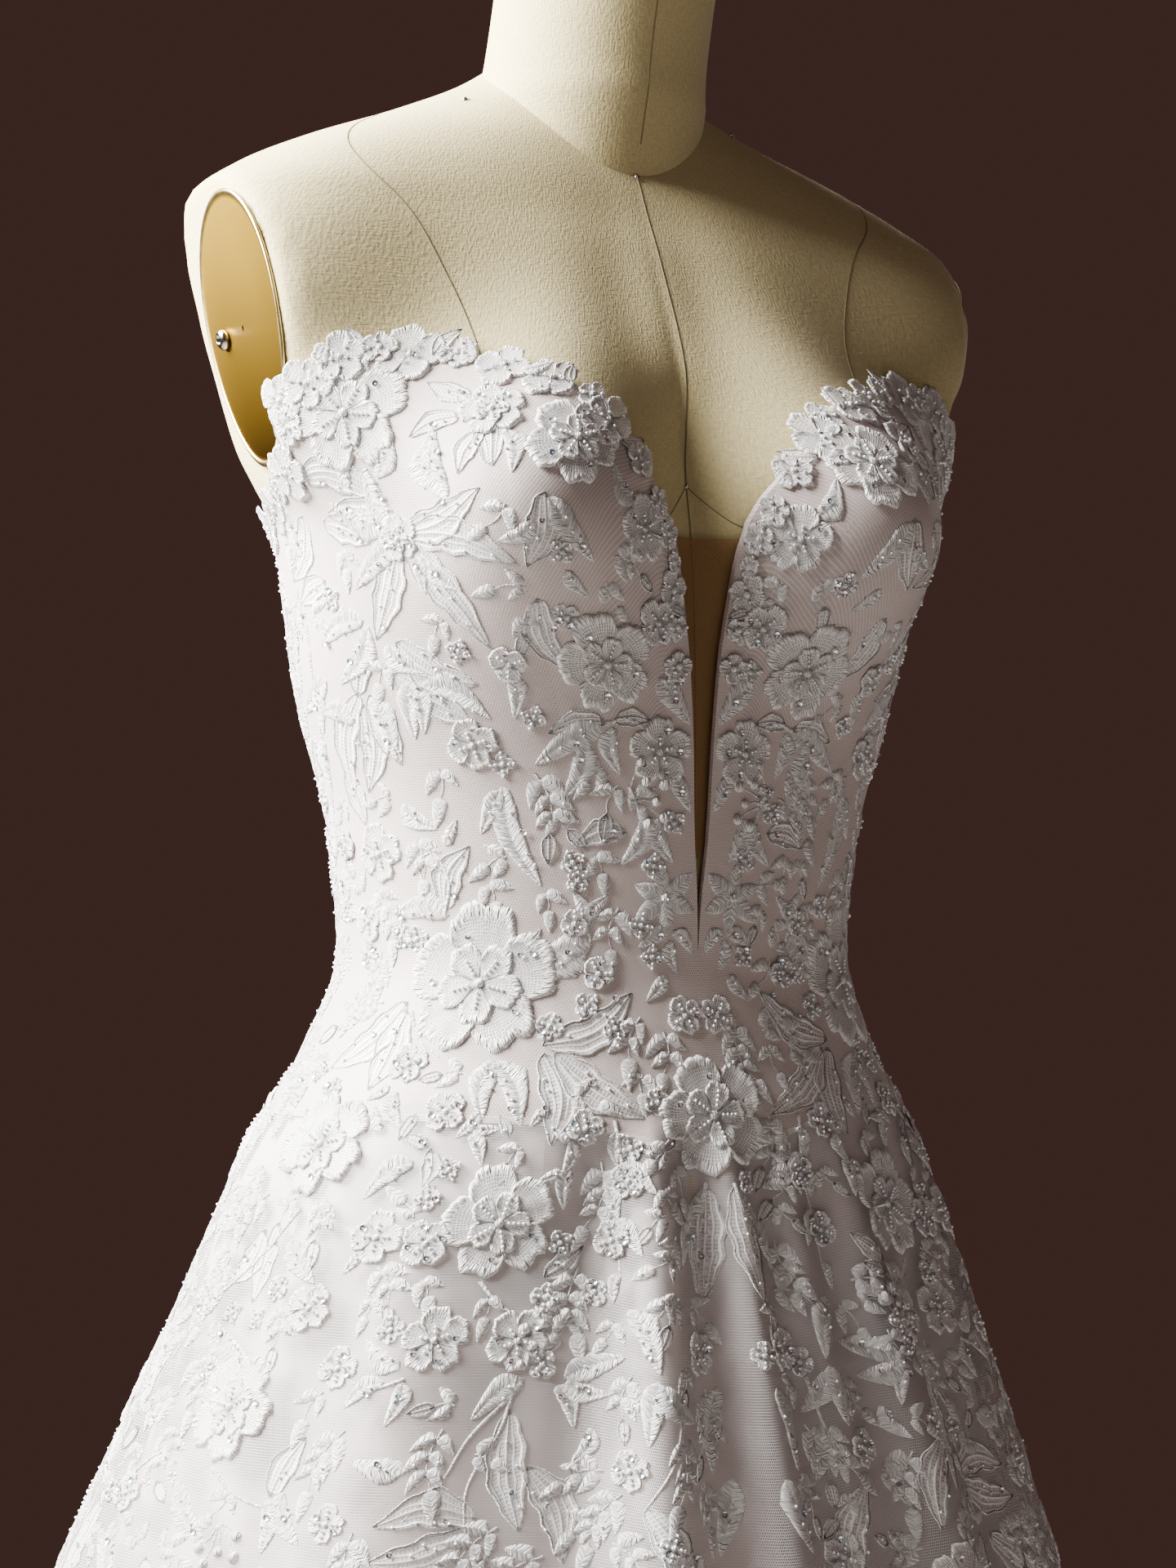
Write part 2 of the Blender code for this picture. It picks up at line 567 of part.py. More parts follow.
def make_flower(name, flower, side, lace):
    """A five-petalled flower: an outline, an inner ring and a centre, thickest in the middle."""
    count = PETALS * len(PETAL_POINTS)
    angle, height = side * flower.angle, flower.height
    middle = surface_point(dress_radius, angle, height)
    normal = outward(np.float64(angle), np.float64(height))
    around = np.cross((0, 0, 1), normal)
    around /= np.linalg.norm(around)
    up = np.cross(normal, around)
    shares = [(0.0, 0.0, FLOWER_CENTRE)]
    for k in range(count):
        shares.append((PETAL_MID, k, FLOWER_MID))
    for k in range(count):
        shares.append((PETAL_POINTS[k % len(PETAL_POINTS)], k, LACE_THICK))
    place_angle, place_height, thick = [], [], []
    for share, k, depth in shares:
        turn = side * (math.radians(flower.turn) + 2 * math.pi * k / count)
        reach = flower.radius * share
        x, y, z = middle + reach * (math.sin(turn) * around + math.cos(turn) * up)
        _, centre = dress_radius(angle, z - WAIST)
        place_angle.append(math.degrees(math.atan2(x - AXIS_X, AXIS_Y + float(centre) - y)))
        place_height.append(z - WAIST)
        thick.append(depth)
    base = LACE_GAP + flower.lift
    under = lay_on_dress(place_angle, place_height, base)
    over = lay_on_dress(place_angle, place_height, base + np.array(thick))
    inner, outer = 1, 1 + count
    top = []
    for k in range(count):
        n = (k + 1) % count
        top.append((0, inner + n, inner + k))
        top.append((inner + k, inner + n, outer + n))
        top.append((inner + k, outer + n, outer + k))
    total = len(shares)
    faces = [tuple(v + total for v in face) for face in top]
    faces += [tuple(reversed(face)) for face in top]
    for k in range(count):
        n = (k + 1) % count
        faces.append((outer + n, outer + k, outer + k + total, outer + n + total))
    face_outward(add_mesh(name, np.concatenate([under, over]), faces, lace))


def edge_path():
    """Angles and heights of even steps along the plunge and then the neckline."""
    corner = PLUNGE[-1]
    up = np.linspace(EDGE_FIRST, corner.height, 12)
    start = np.array([(seam_angle(PLUNGE, h), h) for h in up])
    rest = np.array([(a, neckline(a)) for a in np.linspace(corner.angle + 1, EDGE_LAST, 160)])
    path = np.concatenate([start, rest])
    points = surface_point(dress_radius, path[:, 0], path[:, 1])
    along = np.concatenate([[0], np.cumsum(np.linalg.norm(np.diff(points, axis=0), axis=1))])
    where = np.linspace(0, along[-1], EDGE_STEPS + 1)
    return np.interp(where, along, path[:, 0]), np.interp(where, along, path[:, 1])


def make_lace_edge(side, word, lace):
    """The scalloped lace that runs up the plunge and round the neckline."""
    angle, height = edge_path()
    points = surface_point(dress_radius, angle, height)
    tangent = np.gradient(points, axis=0)
    tangent /= np.linalg.norm(tangent, axis=1, keepdims=True)
    normal = outward(angle, height)
    beyond = np.cross(normal, tangent)
    step = np.arange(EDGE_STEPS + 1)
    scallop = np.abs(np.sin(math.pi * step / EDGE_PITCH))
    low = np.exp(-((angle - EDGE_LOW_AT) / EDGE_LOW_SPREAD) ** 2 / 2)
    corner = PLUNGE[-1]
    beside = np.clip((corner.height - height) / 0.03, 0, 1) * (angle <= corner.angle)
    rise = (EDGE_ABOVE + EDGE_SCALLOP * scallop) * (1 - EDGE_LOW * low) * (1 - EDGE_NARROW * beside)
    below = EDGE_BELOW + EDGE_WAVE * np.cos(2 * math.pi * step / EDGE_PITCH)
    rows = []
    for reach in (-below, np.full_like(rise, EDGE_MIDDLE), rise):
        target = points + beyond * reach[:, None]
        _, centre = dress_radius(angle, target[:, 2] - WAIST)
        at = np.degrees(np.arctan2(target[:, 0] - AXIS_X, AXIS_Y + centre - target[:, 1]))
        rows.append((at, target[:, 2] - WAIST))
    at = side * np.array([row[0] for row in rows])
    up = np.array([row[1] for row in rows])
    under = lay_on_dress(at, up, LACE_GAP)
    over = lay_on_dress(at, up, LACE_GAP + LACE_THICK)
    cloth(f"lace_edge_{word}", over, under, lace)


def make_closure(satin):
    """The placket over the centre back and its row of covered buttons."""
    across, up = np.meshgrid(np.linspace(-1, 1, 3), np.linspace(0, 1, 15))
    height = PLACKET_LOW + (PLACKET_TOP - PLACKET_LOW) * up
    reach = np.degrees(PLACKET_HALF / dress_radius(180, height)[0])
    under = lay_on_dress(180 + across * reach, height, PLACKET_GAP)
    over = lay_on_dress(180 + across * reach, height, PLACKET_GAP + PLACKET_THICK)
    cloth("back_placket", over, under, satin)
    for k in range(BUTTONS):
        height = BUTTON_FIRST - k * BUTTON_PITCH
        normal = Vector(outward(np.float64(180), np.float64(height)))
        seat = Vector(lay_on_dress(180, height, 2 * PLACKET_GAP + PLACKET_THICK))
        turn = Vector((0, 0, 1)).rotation_difference(normal)
        rings = []
        for share, rise in BUTTON_PROFILE:
            circle = [turn @ Vector((share * BUTTON_RADIUS * math.cos(a),
                                     share * BUTTON_RADIUS * math.sin(a),
                                     rise * BUTTON_HEIGHT)) + seat
                      for a in np.linspace(0, 2 * math.pi, 12, endpoint=False)]
            rings.append(circle)
        loft(f"back_button_{k + 1}", np.array(rings), satin)


# ---------------------------------------------------------------- build
for old in list(bpy.data.objects):
    bpy.data.objects.remove(old, do_unlink=True)
parts = bpy.data.collections.new("wedding dress on a dress form")
cutters = bpy.data.collections.new("cutters")
bpy.context.scene.collection.children.link(parts)
bpy.context.scene.collection.children.link(cutters)

linen = material("linen", (0.74, 0.68, 0.54), 0.85)
gold = material("gold", (0.72, 0.50, 0.16), 0.38, 1.0)
chrome = material("chrome", (0.80, 0.80, 0.82), 0.15, 1.0)
steel = material("painted steel", (0.16, 0.14, 0.13), 0.45, 0.4)
satin = material("blush satin", (0.86, 0.80, 0.79), 0.45)
tulle = material("ivory tulle", (0.90, 0.88, 0.87), 0.80)
net = material("nude net", (0.66, 0.52, 0.40), 0.80)
lace = material("ivory lace", (0.93, 0.92, 0.90), 0.60)

outer_faces = []
make_form(linen, gold, chrome, steel)
make_bodice(satin)
make_inset(net)
make_skirt(satin, tulle)

panel_points, panel_faces = [], []
for grid in outer_faces:
    first = len(panel_points)
    panel_points += [tuple(p) for p in grid.reshape(-1, 3)]
    panel_faces += [tuple(v + first for v in face) for face in grid_faces(*grid.shape[:2])]
panels = BVHTree.FromPolygons(panel_points, panel_faces)

make_closure(satin)
for side, word in ((1, "left"), (-1, "right")):
    make_lace_edge(side, word, lace)
for flower in FLOWERS:
    make_flower(f"lace_{flower.name}_left" if flower.twin else f"lace_{flower.name}",
                flower, 1, lace)
    if flower.twin:
        make_flower(f"lace_{flower.name}_right", flower, -1, lace)
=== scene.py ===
"""The looks of a strapless wedding dress on its limbless dress form.

The bodice is blush satin under fine net, the skirt a satin lining under a tulle overlay, and
both carry corded lace: petalled flowers, leaves, stars, berries and stems in raised stitches,
with beads and sequins. The form is covered in linen, with satin gold plates at its armholes.

Metres, +Z up. The wearer faces -Y and the wearer's left is +X. Heights in the tables are
measured from the waist. An angle is measured round the body's axis from the centre front, and
grows towards the wearer's left. The cloth and the form follow the same tables as the solids.
"""

import math
from collections import namedtuple

import bpy
import numpy as np
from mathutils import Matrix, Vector


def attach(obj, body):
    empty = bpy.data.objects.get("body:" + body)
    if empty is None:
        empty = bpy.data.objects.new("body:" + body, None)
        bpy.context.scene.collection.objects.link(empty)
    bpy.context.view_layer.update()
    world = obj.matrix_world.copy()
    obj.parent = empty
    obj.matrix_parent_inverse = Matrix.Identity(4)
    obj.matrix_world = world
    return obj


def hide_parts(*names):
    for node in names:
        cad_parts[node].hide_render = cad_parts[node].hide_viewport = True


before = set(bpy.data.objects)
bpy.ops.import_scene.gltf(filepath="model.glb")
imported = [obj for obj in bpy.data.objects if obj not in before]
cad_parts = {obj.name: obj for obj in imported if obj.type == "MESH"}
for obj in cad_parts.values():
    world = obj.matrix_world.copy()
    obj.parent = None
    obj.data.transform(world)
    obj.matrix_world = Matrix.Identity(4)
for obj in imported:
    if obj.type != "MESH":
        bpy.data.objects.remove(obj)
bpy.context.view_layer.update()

# ---------------------------------------------------------------- sizes shared with the solids
WAIST = 1.09
AXIS_X, AXIS_Y = -0.0006, -0.1159
SIDES = ((1, "left"), (-1, "right"))
SEAM = 0.0003
PANEL_SEAM = 0.00004        # between panels that are sewn together
FORM_GAP = 0.0016
BODICE_WALL = 0.0024
WAIST_SEAM, WAIST_DIP = -0.070, 0.015
HEM_LINING, HEM_TULLE = -1.076, -1.080

Section = namedtuple("Section", "height half_width front back centre square")
FORM = [Section(*row) for row in (
    (-0.260, 0.1630, 0.1220, 0.1180, 0.004, 2.10),
    (-0.180, 0.1630, 0.1200, 0.1200, 0.004, 2.10),
    (-0.100, 0.1500, 0.1130, 0.1000, 0.003, 2.15),
    (-0.050, 0.1325, 0.1020, 0.0830, 0.001, 2.20),
    (0.000, 0.1145, 0.0915, 0.0720, -0.002, 2.25),
    (0.050, 0.1200, 0.0905, 0.0750, -0.005, 2.25),
    (0.120, 0.1380, 0.0870, 0.0810, -0.008, 2.30),
    (0.180, 0.1460, 0.0800, 0.0890, -0.008, 2.40),
    (0.205, 0.1590, 0.0750, 0.0880, -0.008, 2.60),
    (0.220, 0.1670, 0.0720, 0.0860, -0.007, 2.70),
    (0.250, 0.1780, 0.0660, 0.0830, -0.005, 2.80),
    (0.280, 0.1880, 0.0620, 0.0800, -0.001, 2.80),
    (0.310, 0.1930, 0.0590, 0.0780, 0.004, 2.70),
    (0.328, 0.1900, 0.0570, 0.0750, 0.008, 2.60),
    (0.344, 0.1700, 0.0560, 0.0730, 0.012, 2.40),
    (0.360, 0.1380, 0.0540, 0.0700, 0.016, 2.25),
    (0.378, 0.0930, 0.0500, 0.0670, 0.020, 2.10),
    (0.395, 0.0560, 0.0450, 0.0610, 0.022, 2.00),
    (0.412, 0.0300, 0.0260, 0.0340, 0.020, 2.00),
)]
SKIRT = [Section(*row) for row in (
    (-1.080, 0.5070, 0.4700, 0.4710, 0.115, 2.00),
    (-0.850, 0.4370, 0.3900, 0.4030, 0.090, 2.02),
    (-0.600, 0.3450, 0.3070, 0.3180, 0.062, 2.05),
    (-0.400, 0.2750, 0.2340, 0.2400, 0.040, 2.10),
    (-0.240, 0.2170, 0.1760, 0.1780, 0.022, 2.10),
    (-0.170, 0.1900, 0.1480, 0.1460, 0.012, 2.10),
    (-0.100, 0.1650, 0.1210, 0.1100, 0.004, 2.15),
    (-0.070, 0.1500, 0.1130, 0.0980, 0.002, 2.20),
)]
SKIRT_FROM = (-0.045, -0.080)

Mound = namedtuple("Mound", "angle height reach spread_angle spread_up spread_down")
FORM_BUST = Mound(38, 0.190, 0.0515, 17.5, 0.055, 0.043)
CUP = Mound(38, 0.190, 0.0545, 17.5, 0.055, 0.043)
BRIDGE = Mound(0, 0.140, 0.0040, 14, 0.085, 0.085)
CORNER = Mound(71, 0.222, 0.0024, 12, 0.03, 0.03)
# The linen is padded in front of each plate, spans the hollow above the bust, and stands proud
# of the left plate's front edge, at this angle and with this spread.
ARM_FRONT = Mound(75.5, 0.286, 0.0200, 6.0, 0.036, 0.021)
BREASTBONE = Mound(0, 0.256, 0.0090, 12, 0.036, 0.022)
ARM_LIP, LIP_ANGLE, LIP_SPREAD = 0.0026, 74, 2.6
PLATE_X, PLATE_HEIGHT, PLATE_LEAN = 0.172, 0.268, 0.20
PLATE_Y, PLATE_HALF_WIDTH, PLATE_HALF_HEIGHT = -0.0085, 0.0385, 0.0590
PLATE_EGG, PLATE_THICK = 0.12, 0.0016
ARM_CLEAR, ARM_SOFT = 0.0040, 0.0015
ARM_LOW, ARM_FADE = 0.195, 0.10
BOLT_Y, BOLT_HEIGHT, BOLT_RADIUS, BOLT_THICK = 0.0115, 0.266, 0.0045, 0.0030

NECK_RADIUS, NECK_FLARE, NECK_FLARE_HEIGHT, NECK_FLARE_FROM = 0.0505, 0.0030, 0.012, 0.385
NECK_TOP, NECK_SEAT = 0.475, 0.335
NECK_ROOT, NECK_Y, NECK_LEAN = 0.36, 0.006, -0.30

Edge = namedtuple("Edge", "angle height")
NECKLINE = [Edge(*row) for row in (
    (11, 0.185), (14, 0.195), (18, 0.205), (22, 0.215), (28, 0.232), (38, 0.243), (50, 0.250),
    (60, 0.255), (70, 0.253), (75, 0.242), (79, 0.223), (85, 0.2075), (92, 0.1975),
    (100, 0.190), (110, 0.186), (125, 0.182), (150, 0.176), (180, 0.172),
)]
PLUNGE = [Edge(*row) for row in (
    (0, 0.000), (0.6, 0.022), (2.0, 0.050), (3.0, 0.090), (4.5, 0.125), (6.5, 0.150),
    (8.5, 0.170), (11.0, 0.185),
)]
FRONT_SEAM = [Edge(*row) for row in (
    (27, -0.085), (29, 0.0165), (33, 0.0645), (37, 0.1005), (40.5, 0.150), (46, 0.2445),
)]
SIDE_SEAM = [Edge(*row) for row in ((88, -0.085), (88, 0.260))]
BACK_SEAM = [Edge(*row) for row in ((140, -0.085), (136, 0.050), (128, 0.190))]
CENTRE_BACK = [Edge(*row) for row in ((180, -0.085), (180, 0.260))]

Fold = namedtuple("Fold", "angle width height start")
FOLDS = [Fold(*row) for row in (
    (-17, 6.5, 0.042, -0.080), (7, 5.5, 0.040, -0.085), (30, 7.5, 0.036, -0.110),
    (54, 7.0, 0.042, -0.120), (77, 8.0, 0.038, -0.130), (101, 7.0, 0.044, -0.110),
    (123, 7.5, 0.040, -0.100), (146, 7.0, 0.048, -0.090), (168, 6.5, 0.044, -0.085),
    (-170, 6.5, 0.046, -0.085), (-148, 7.5, 0.044, -0.090), (-124, 7.0, 0.042, -0.100),
    (-101, 8.0, 0.038, -0.120), (-80, 8.0, 0.030, -0.140), (-49, 9.0, 0.034, -0.130),
)]
FOLD_VALLEY, FOLD_VALLEY_WIDTH, FOLD_GROWTH = 0.35, 2.2, 0.75
LINING_FOLDS = 0.75
LAYER_GAP, LAYER_STAND, LAYER_HEM, LAYER_HIP = 0.0019, 0.0150, 0.0240, -0.270

BUTTONS, BUTTON_FIRST, BUTTON_PITCH = 7, 0.155, 0.034
BUTTON_RADIUS, BUTTON_HEIGHT = 0.0055, 0.0036
PLACKET_HALF, PLACKET_THICK, PLACKET_TOP, PLACKET_GAP = 0.0075, 0.0011, 0.168, 0.0006
PLACKET_LOW = BUTTON_FIRST - (BUTTONS - 1) * BUTTON_PITCH - 0.016
INSET_TOP, INSET_BOTTOM, INSET_TUCK, INSET_WALL, INSET_GAP = 0.178, 0.040, 0.004, 0.0010, 0.0009

# ---------------------------------------------------------------- finer creases, on the cloth only
# Soft creases between the large folds: angle, half width in degrees, depth in metres, first
# and last height. They run down from the waist seam, deepest halfway.
Crease = namedtuple("Crease", "angle width depth top bottom")
CREASES = [Crease(*row) for row in (
    (-68, 4.5, 0.0030, -0.080, -0.50), (-54, 5.0, 0.0052, -0.095, -0.66),
    (-37, 5.5, -0.0050, -0.105, -0.60), (-26, 4.4, -0.0082, -0.076, -0.66),
    (-14.5, 3.2, 0.0070, -0.070, -0.72), (-5.5, 3.0, -0.0068, -0.072, -0.56),
    (2.5, 2.5, 0.0048, -0.074, -0.50), (9.5, 3.0, -0.0060, -0.078, -0.46),
    (17, 2.8, 0.0024, -0.086, -0.55), (23, 3.2, -0.0046, -0.090, -0.50),
    (31, 3.6, 0.0040, -0.078, -0.58), (43, 4.6, -0.0034, -0.095, -0.44),
    (62, 4.0, 0.0044, -0.082, -0.52), (74, 3.4, -0.0036, -0.090, -0.40),
    (90, 4.4, 0.0038, -0.076, -0.62), (103, 3.0, -0.0048, -0.080, -0.46),
    (113, 2.8, 0.0050, -0.074, -0.56), (129, 4.2, -0.0040, -0.085, -0.50),
    (140, 3.0, 0.0046, -0.073, -0.60), (151, 2.6, -0.0052, -0.072, -0.44),
    (160, 2.4, 0.0048, -0.072, -0.52), (176, 2.8, -0.0044, -0.072, -0.48),
    (-172, 2.6, 0.0052, -0.072, -0.58), (-158, 3.4, -0.0040, -0.074, -0.42),
    (-147, 2.8, 0.0050, -0.073, -0.54), (-134, 3.6, -0.0046, -0.078, -0.62),
    (-121, 3.0, 0.0042, -0.075, -0.46), (-108, 4.0, -0.0036, -0.085, -0.55),
    (-92, 4.4, 0.0040, -0.080, -0.48), (-80, 3.4, -0.0030, -0.090, -0.40),
)]
CREASE_EARLY, CREASE_BROAD = 0.55, 0.8     # deepest above its middle, and for how much of it
SEAM_TROUGH, SEAM_SPREAD = 0.00018, 1.1    # the bodice's dip along a seam, in metres and degrees
LAP_RISE, LAP_FADE = 0.00035, 0.012        # how far the tulle stands off where it laps the bodice

# ---------------------------------------------------------------- where the lace's motifs lie
# Flowers of one half, mirrored by a loop: angle, height above the waist in millimetres, radius
# in millimetres, turn in degrees, petals, whether an inner ring of petals lies on it.
Bloom = namedtuple("Bloom", "angle height radius turn petals double", defaults=[False])
DOUBLE = True
BLOOMS = [Bloom(*row) for row in (
    (69, 225, 27.5, 10, 5, DOUBLE), (78, 232, 12.0, 60, 4), (32, 212, 23.0, 40, 5, DOUBLE),
    (19, 177, 15.5, 10, 5), (26.5, 121, 22.5, 20, 5, DOUBLE), (14.5, 139, 11.0, 50, 4),
    (12.5, 85, 15.0, 0, 5), (54, 87, 11.5, 20, 4), (45.5, 120, 8.5, 50, 3), (77, 42, 13.5, 15, 4),
    (82, 13, 9.5, 70, 3), (88.5, 46, 7.5, 10, 3), (52.5, -13, 33.5, 0, 5, DOUBLE),
    (62, 172, 10.5, 15, 5, DOUBLE), (46, 224, 14.5, 20, 5, DOUBLE), (63.5, -47, 9.5, 25, 4),
    (54, -66, 9.5, 50, 4), (74.5, -81, 24.0, 30, 5, DOUBLE), (42.5, -111, 24.5, 15, 5, DOUBLE),
    (60, -117, 12.0, 0, 4), (52.5, -119, 11.0, 45, 4), (48.5, -157, 14.5, 5, 5),
    (37.5, -158, 13.5, 40, 5), (74.5, -188, 24.0, 50, 5, DOUBLE), (60.5, -169, 9.5, 10, 4),
    (67, -146, 11.0, 60, 4), (87.5, -228, 9.0, 20, 4), (56, -228, 8.5, 0, 4),
    (32.5, 12, 6.5, 0, 3), (26.5, -9, 7.5, 30, 3), (28.5, -73, 8.5, 10, 4), (20, -95, 8.0, 50, 4),
    (23, -119, 8.5, 20, 4), (4.5, -27, 9.0, 30, 4), (20, -209, 9.0, 15, 4),
    (7.5, -166, 10.0, 40, 4), (30, -268, 18.0, 10, 5), (66, -272, 17.0, 40, 5),
    (46, -292, 12.0, 0, 5), (12, -250, 11.0, 25, 4),
)]
CENTRE_BLOOM = Bloom(0, -69, 27.0, 54, 5, DOUBLE)
BACK_BLOOMS = [Bloom(*row) for row in (
    (112, 105, 29.0, 25, 5, DOUBLE), (146, -20, 28.0, 60, 5, DOUBLE))]

# Leaves of one half: the angle and the height in millimetres of the base and of the tip, and
# the stitching. Net is open and corded, satin is solid, and small is a plainer satin.
NET, SATIN, SMALL = "net", "satin", "small"
Leaf = namedtuple("Leaf", "base_angle base_height tip_angle tip_height stitch", defaults=[SATIN])
LEAVES = [Leaf(*row) for row in (
    (61.5, 174, 41, 160, NET), (61.5, 172, 47.5, 128, NET), (61.5, 174, 46.5, 190, NET),
    (62, 176, 66.5, 202), (62, 174, 76.5, 185, NET), (62.5, 169, 70, 131, NET),
    (52, 186, 55.5, 218), (44.5, 199, 53, 234, NET), (36.5, 188, 40, 158, NET),
    (36, 186, 29, 161), (34, 157, 30, 147), (21.5, 186, 25.5, 204), (88.5, 190, 85, 166),
    (78, 182, 68, 171, NET), (76, 109, 71.5, 131, NET), (66, 130, 51.5, 112, NET),
    (62.5, 112, 50, 98), (64, 114, 65, 90), (73, 109, 68.5, 79, NET), (74.5, 105, 78, 68, NET),
    (78, 98, 87.5, 103), (45, 116, 45.5, 98), (49, 68, 53, 50), (48.5, 70, 40, 28),
    (61, 18, 55.5, 45, NET), (60, 16, 74, 16), (60.5, 45, 58, 56), (88, 117, 89, 94),
    (90, 92, 91.5, 70), (94, 64, 97, 37), (26.5, 97, 39, 92, NET), (27, 95, 42, 79),
    (31, 89, 35.5, 65), (25, 95, 22.5, 75), (24.5, 98, 15, 98, NET), (13.5, 116, 4, 97),
    (20.5, 51, 33, 45, NET), (15.5, 56, 21.5, 37), (14, 57, 8, 38), (8, 75, 3.5, 60),
    (30, 12, 24.5, 24), (30, 12, 33, 26), (29.5, 1, 42, -9), (28.5, 5, 41.5, -4),
    (8.5, 9, 16.5, 2), (7.5, 9, 1.5, -1), (8, 5, 6, -9), (9, -10, 14.5, -21), (42.5, -4, 40, 10),
    (38, -39, 17.5, -17, NET), (37.5, -42, 35, -80, NET), (35.5, -42, 16, -70, NET),
    (47, -45, 49.5, -58), (46.5, -45, 41, -72), (46.5, -45, 47.5, -69), (67.5, -21, 81, -50, NET),
    (67.5, -24, 69.5, -58, NET), (64.5, -58, 61.5, -73), (65.5, -56, 69, -62), (49, -73, 44, -73),
    (55.5, -80, 60, -76, NET), (55, -81, 55, -97, NET), (57.5, -86, 63.5, -102),
    (49, -75, 46.5, -88), (34.5, -133, 28, -121, NET), (22.5, -75, 22, -89), (22, -89, 15, -100),
    (22, -92, 22.5, -106), (22, -110, 25, -122), (22, -110, 18, -125), (22, -132, 22.5, -144),
    (31, -78, 32.5, -92), (31.5, -89, 32, -106), (32.5, -91, 37, -95), (52, -168, 57.5, -157),
    (53.5, -173, 58, -184), (51, -173, 52, -190), (74.5, -121, 67.5, -136),
    (77, -121, 78.5, -147, NET), (80.5, -117, 85, -141, NET), (92, -160, 92.5, -198, NET),
    (102, -201, 94.5, -226, NET), (64.5, -220, 62, -196, NET), (63.5, -218, 59, -237),
    (64.5, -221, 63.5, -242), (80, -220, 71, -242), (37.5, -185, 34.5, -232, NET),
    (34, -207, 28.5, -245, NET), (39.5, -226, 50.5, -228, NET), (40, -232, 50.5, -242, NET),
    (30, -173, 20.5, -165), (30, -176, 23, -180), (31, -176, 28, -193), (36, -173, 42, -188),
    (2.5, -98, 5, -147, NET), (4, -102, 8, -114), (5.5, -113, 9.5, -130), (20, -146, 16, -171),
    (16, -174, 17.5, -199), (16, -177, 10, -192), (25, -193, 28, -207), (61.5, -122, 65, -113),
    (61.5, -122, 63.5, -132), (48.5, -207, 55, -204), (85, -157, 75.5, -168),
    (40, -252, 37, -305, NET), (43, -255, 50, -284, NET), (30, -286, 33, -318),
    (30, -286, 25, -312), (66, -288, 63, -330, NET), (66, -286, 72, -310),
    (92, -232, 96, -276, NET), (88, -240, 84, -268), (18, -222, 14, -268, NET),
    (4, -180, 6, -214), (3, -216, 6, -246), (80, -250, 78, -296, NET), (63, 174, 70, 186),
    (64, 177, 75, 189), (62.5, 170, 73, 153), (57.5, 161, 52, 150), (56, 191, 54.5, 215),
    (64.5, 197, 62.5, 218), (70, 195, 70, 209), (59, 165, 58.5, 149), (72, 140, 83.5, 131),
    (71, 137, 79.5, 114), (68.5, 128, 61, 117), (67.5, 117, 53.5, 96, NET), (64, 113, 63, 92),
    (75.5, 110, 83, 66, NET), (73, 108, 69.5, 81), (83.5, 116, 95, 104), (47, 215, 50, 196, NET),
    (43, 215, 41.5, 196), (51, 222, 59, 213, NET), (50, 230, 58, 238, NET), (41, 232, 35, 238),
    (66, 192, 80, 200, NET), (83, 186, 92, 160, NET), (90, 152, 88, 132), (80, 158, 90, 150, NET),
    (38, 176, 44, 168), (39, 146, 35, 118, NET), (91, 36, 96, 14), (84, 78, 80, 54, NET),
    (70, 62, 62, 52),
)]
STAR = Bloom(10, 23, 15.5, 0, 6)            # six leaves round a knot
# Berries on short stalks: angle, height, the sprig's turn in degrees, berries.
Sprig = namedtuple("Sprig", "angle height turn berries")
SPRIGS = [Sprig(*row) for row in ((20, 63, -75, 6), (31, -160, 55, 6), (70, -232, 200, 5))]
# Stems: (angle, height in millimetres) of the points that each one passes through.
STEMS = (
    ((44, -134), (41, -143), (38.5, -148)), ((22.5, -70), (21, -92), (22, -112), (21.5, -134)),
    ((51, -172), (55, -176), (60.5, -170)), ((37, -172), (38, -190), (41, -215), (40, -238)),
    ((37, -178), (42, -196), (44, -212), (47, -226)), ((20, 70), (18, 62), (15.5, 52), (10.5, 36)),
    ((61, 16), (60, 30), (64, 42), (67, 38), (66, 31)), ((30, 12), (28.5, 4), (33, -4)),
    ((26.5, 96), (21, 99), (15, 92)), ((66, -25), (63, -36), (58, -44)),
    ((74, -107), (78, -122), (86, -150), (90, -182)), ((83, -205), (88, -222), (86, -246)),
    ((2.5, -97), (4.5, -120), (6, -150)), ((74, -212), (68, -222), (60, -226)),
    ((88, 130), (89.5, 100), (92, 70), (96, 38)), ((12, -178), (14, -205), (18, -224)),
)


# ---------------------------------------------------------------- curves and surfaces
def curve_through(xs, ys, x):
    """A monotone cubic through the points, so that it never overshoots them."""
    xs, ys, x = (np.asarray(values, float) for values in (xs, ys, x))
    step = np.diff(xs)
    rise = np.diff(ys) / step
    slope = np.zeros_like(ys)
    slope[0], slope[-1] = rise[0], rise[-1]
    for k in range(1, len(xs) - 1):
        if rise[k - 1] * rise[k] > 0:
            before, after = 2 * step[k] + step[k - 1], step[k] + 2 * step[k - 1]
            slope[k] = (before + after) / (before / rise[k - 1] + after / rise[k])
    return curve_with(xs, ys, slope, x)


def curve_with(xs, ys, slope, x):
    """A cubic through the points with the slope that each one has."""
    i = np.clip(np.searchsorted(xs, x) - 1, 0, len(xs) - 2)
    step = xs[i + 1] - xs[i]
    t = np.clip((x - xs[i]) / step, 0, 1)
    start = ys[i] * (1 + 2 * t) * (1 - t) ** 2 + slope[i] * step * t * (1 - t) ** 2
    end = ys[i + 1] * t * t * (3 - 2 * t) + slope[i + 1] * step * t * t * (t - 1)
    return start + end


def smooth_through(xs, ys, x):
    """A rounded curve through a few points."""
    return np.interp(x, xs, ys) if len(xs) < 3 else curve_with(xs, ys, np.gradient(ys, xs), x)


def read_table(rows, key, column, x):
    return curve_through([getattr(r, key) for r in rows], [getattr(r, column) for r in rows], x)


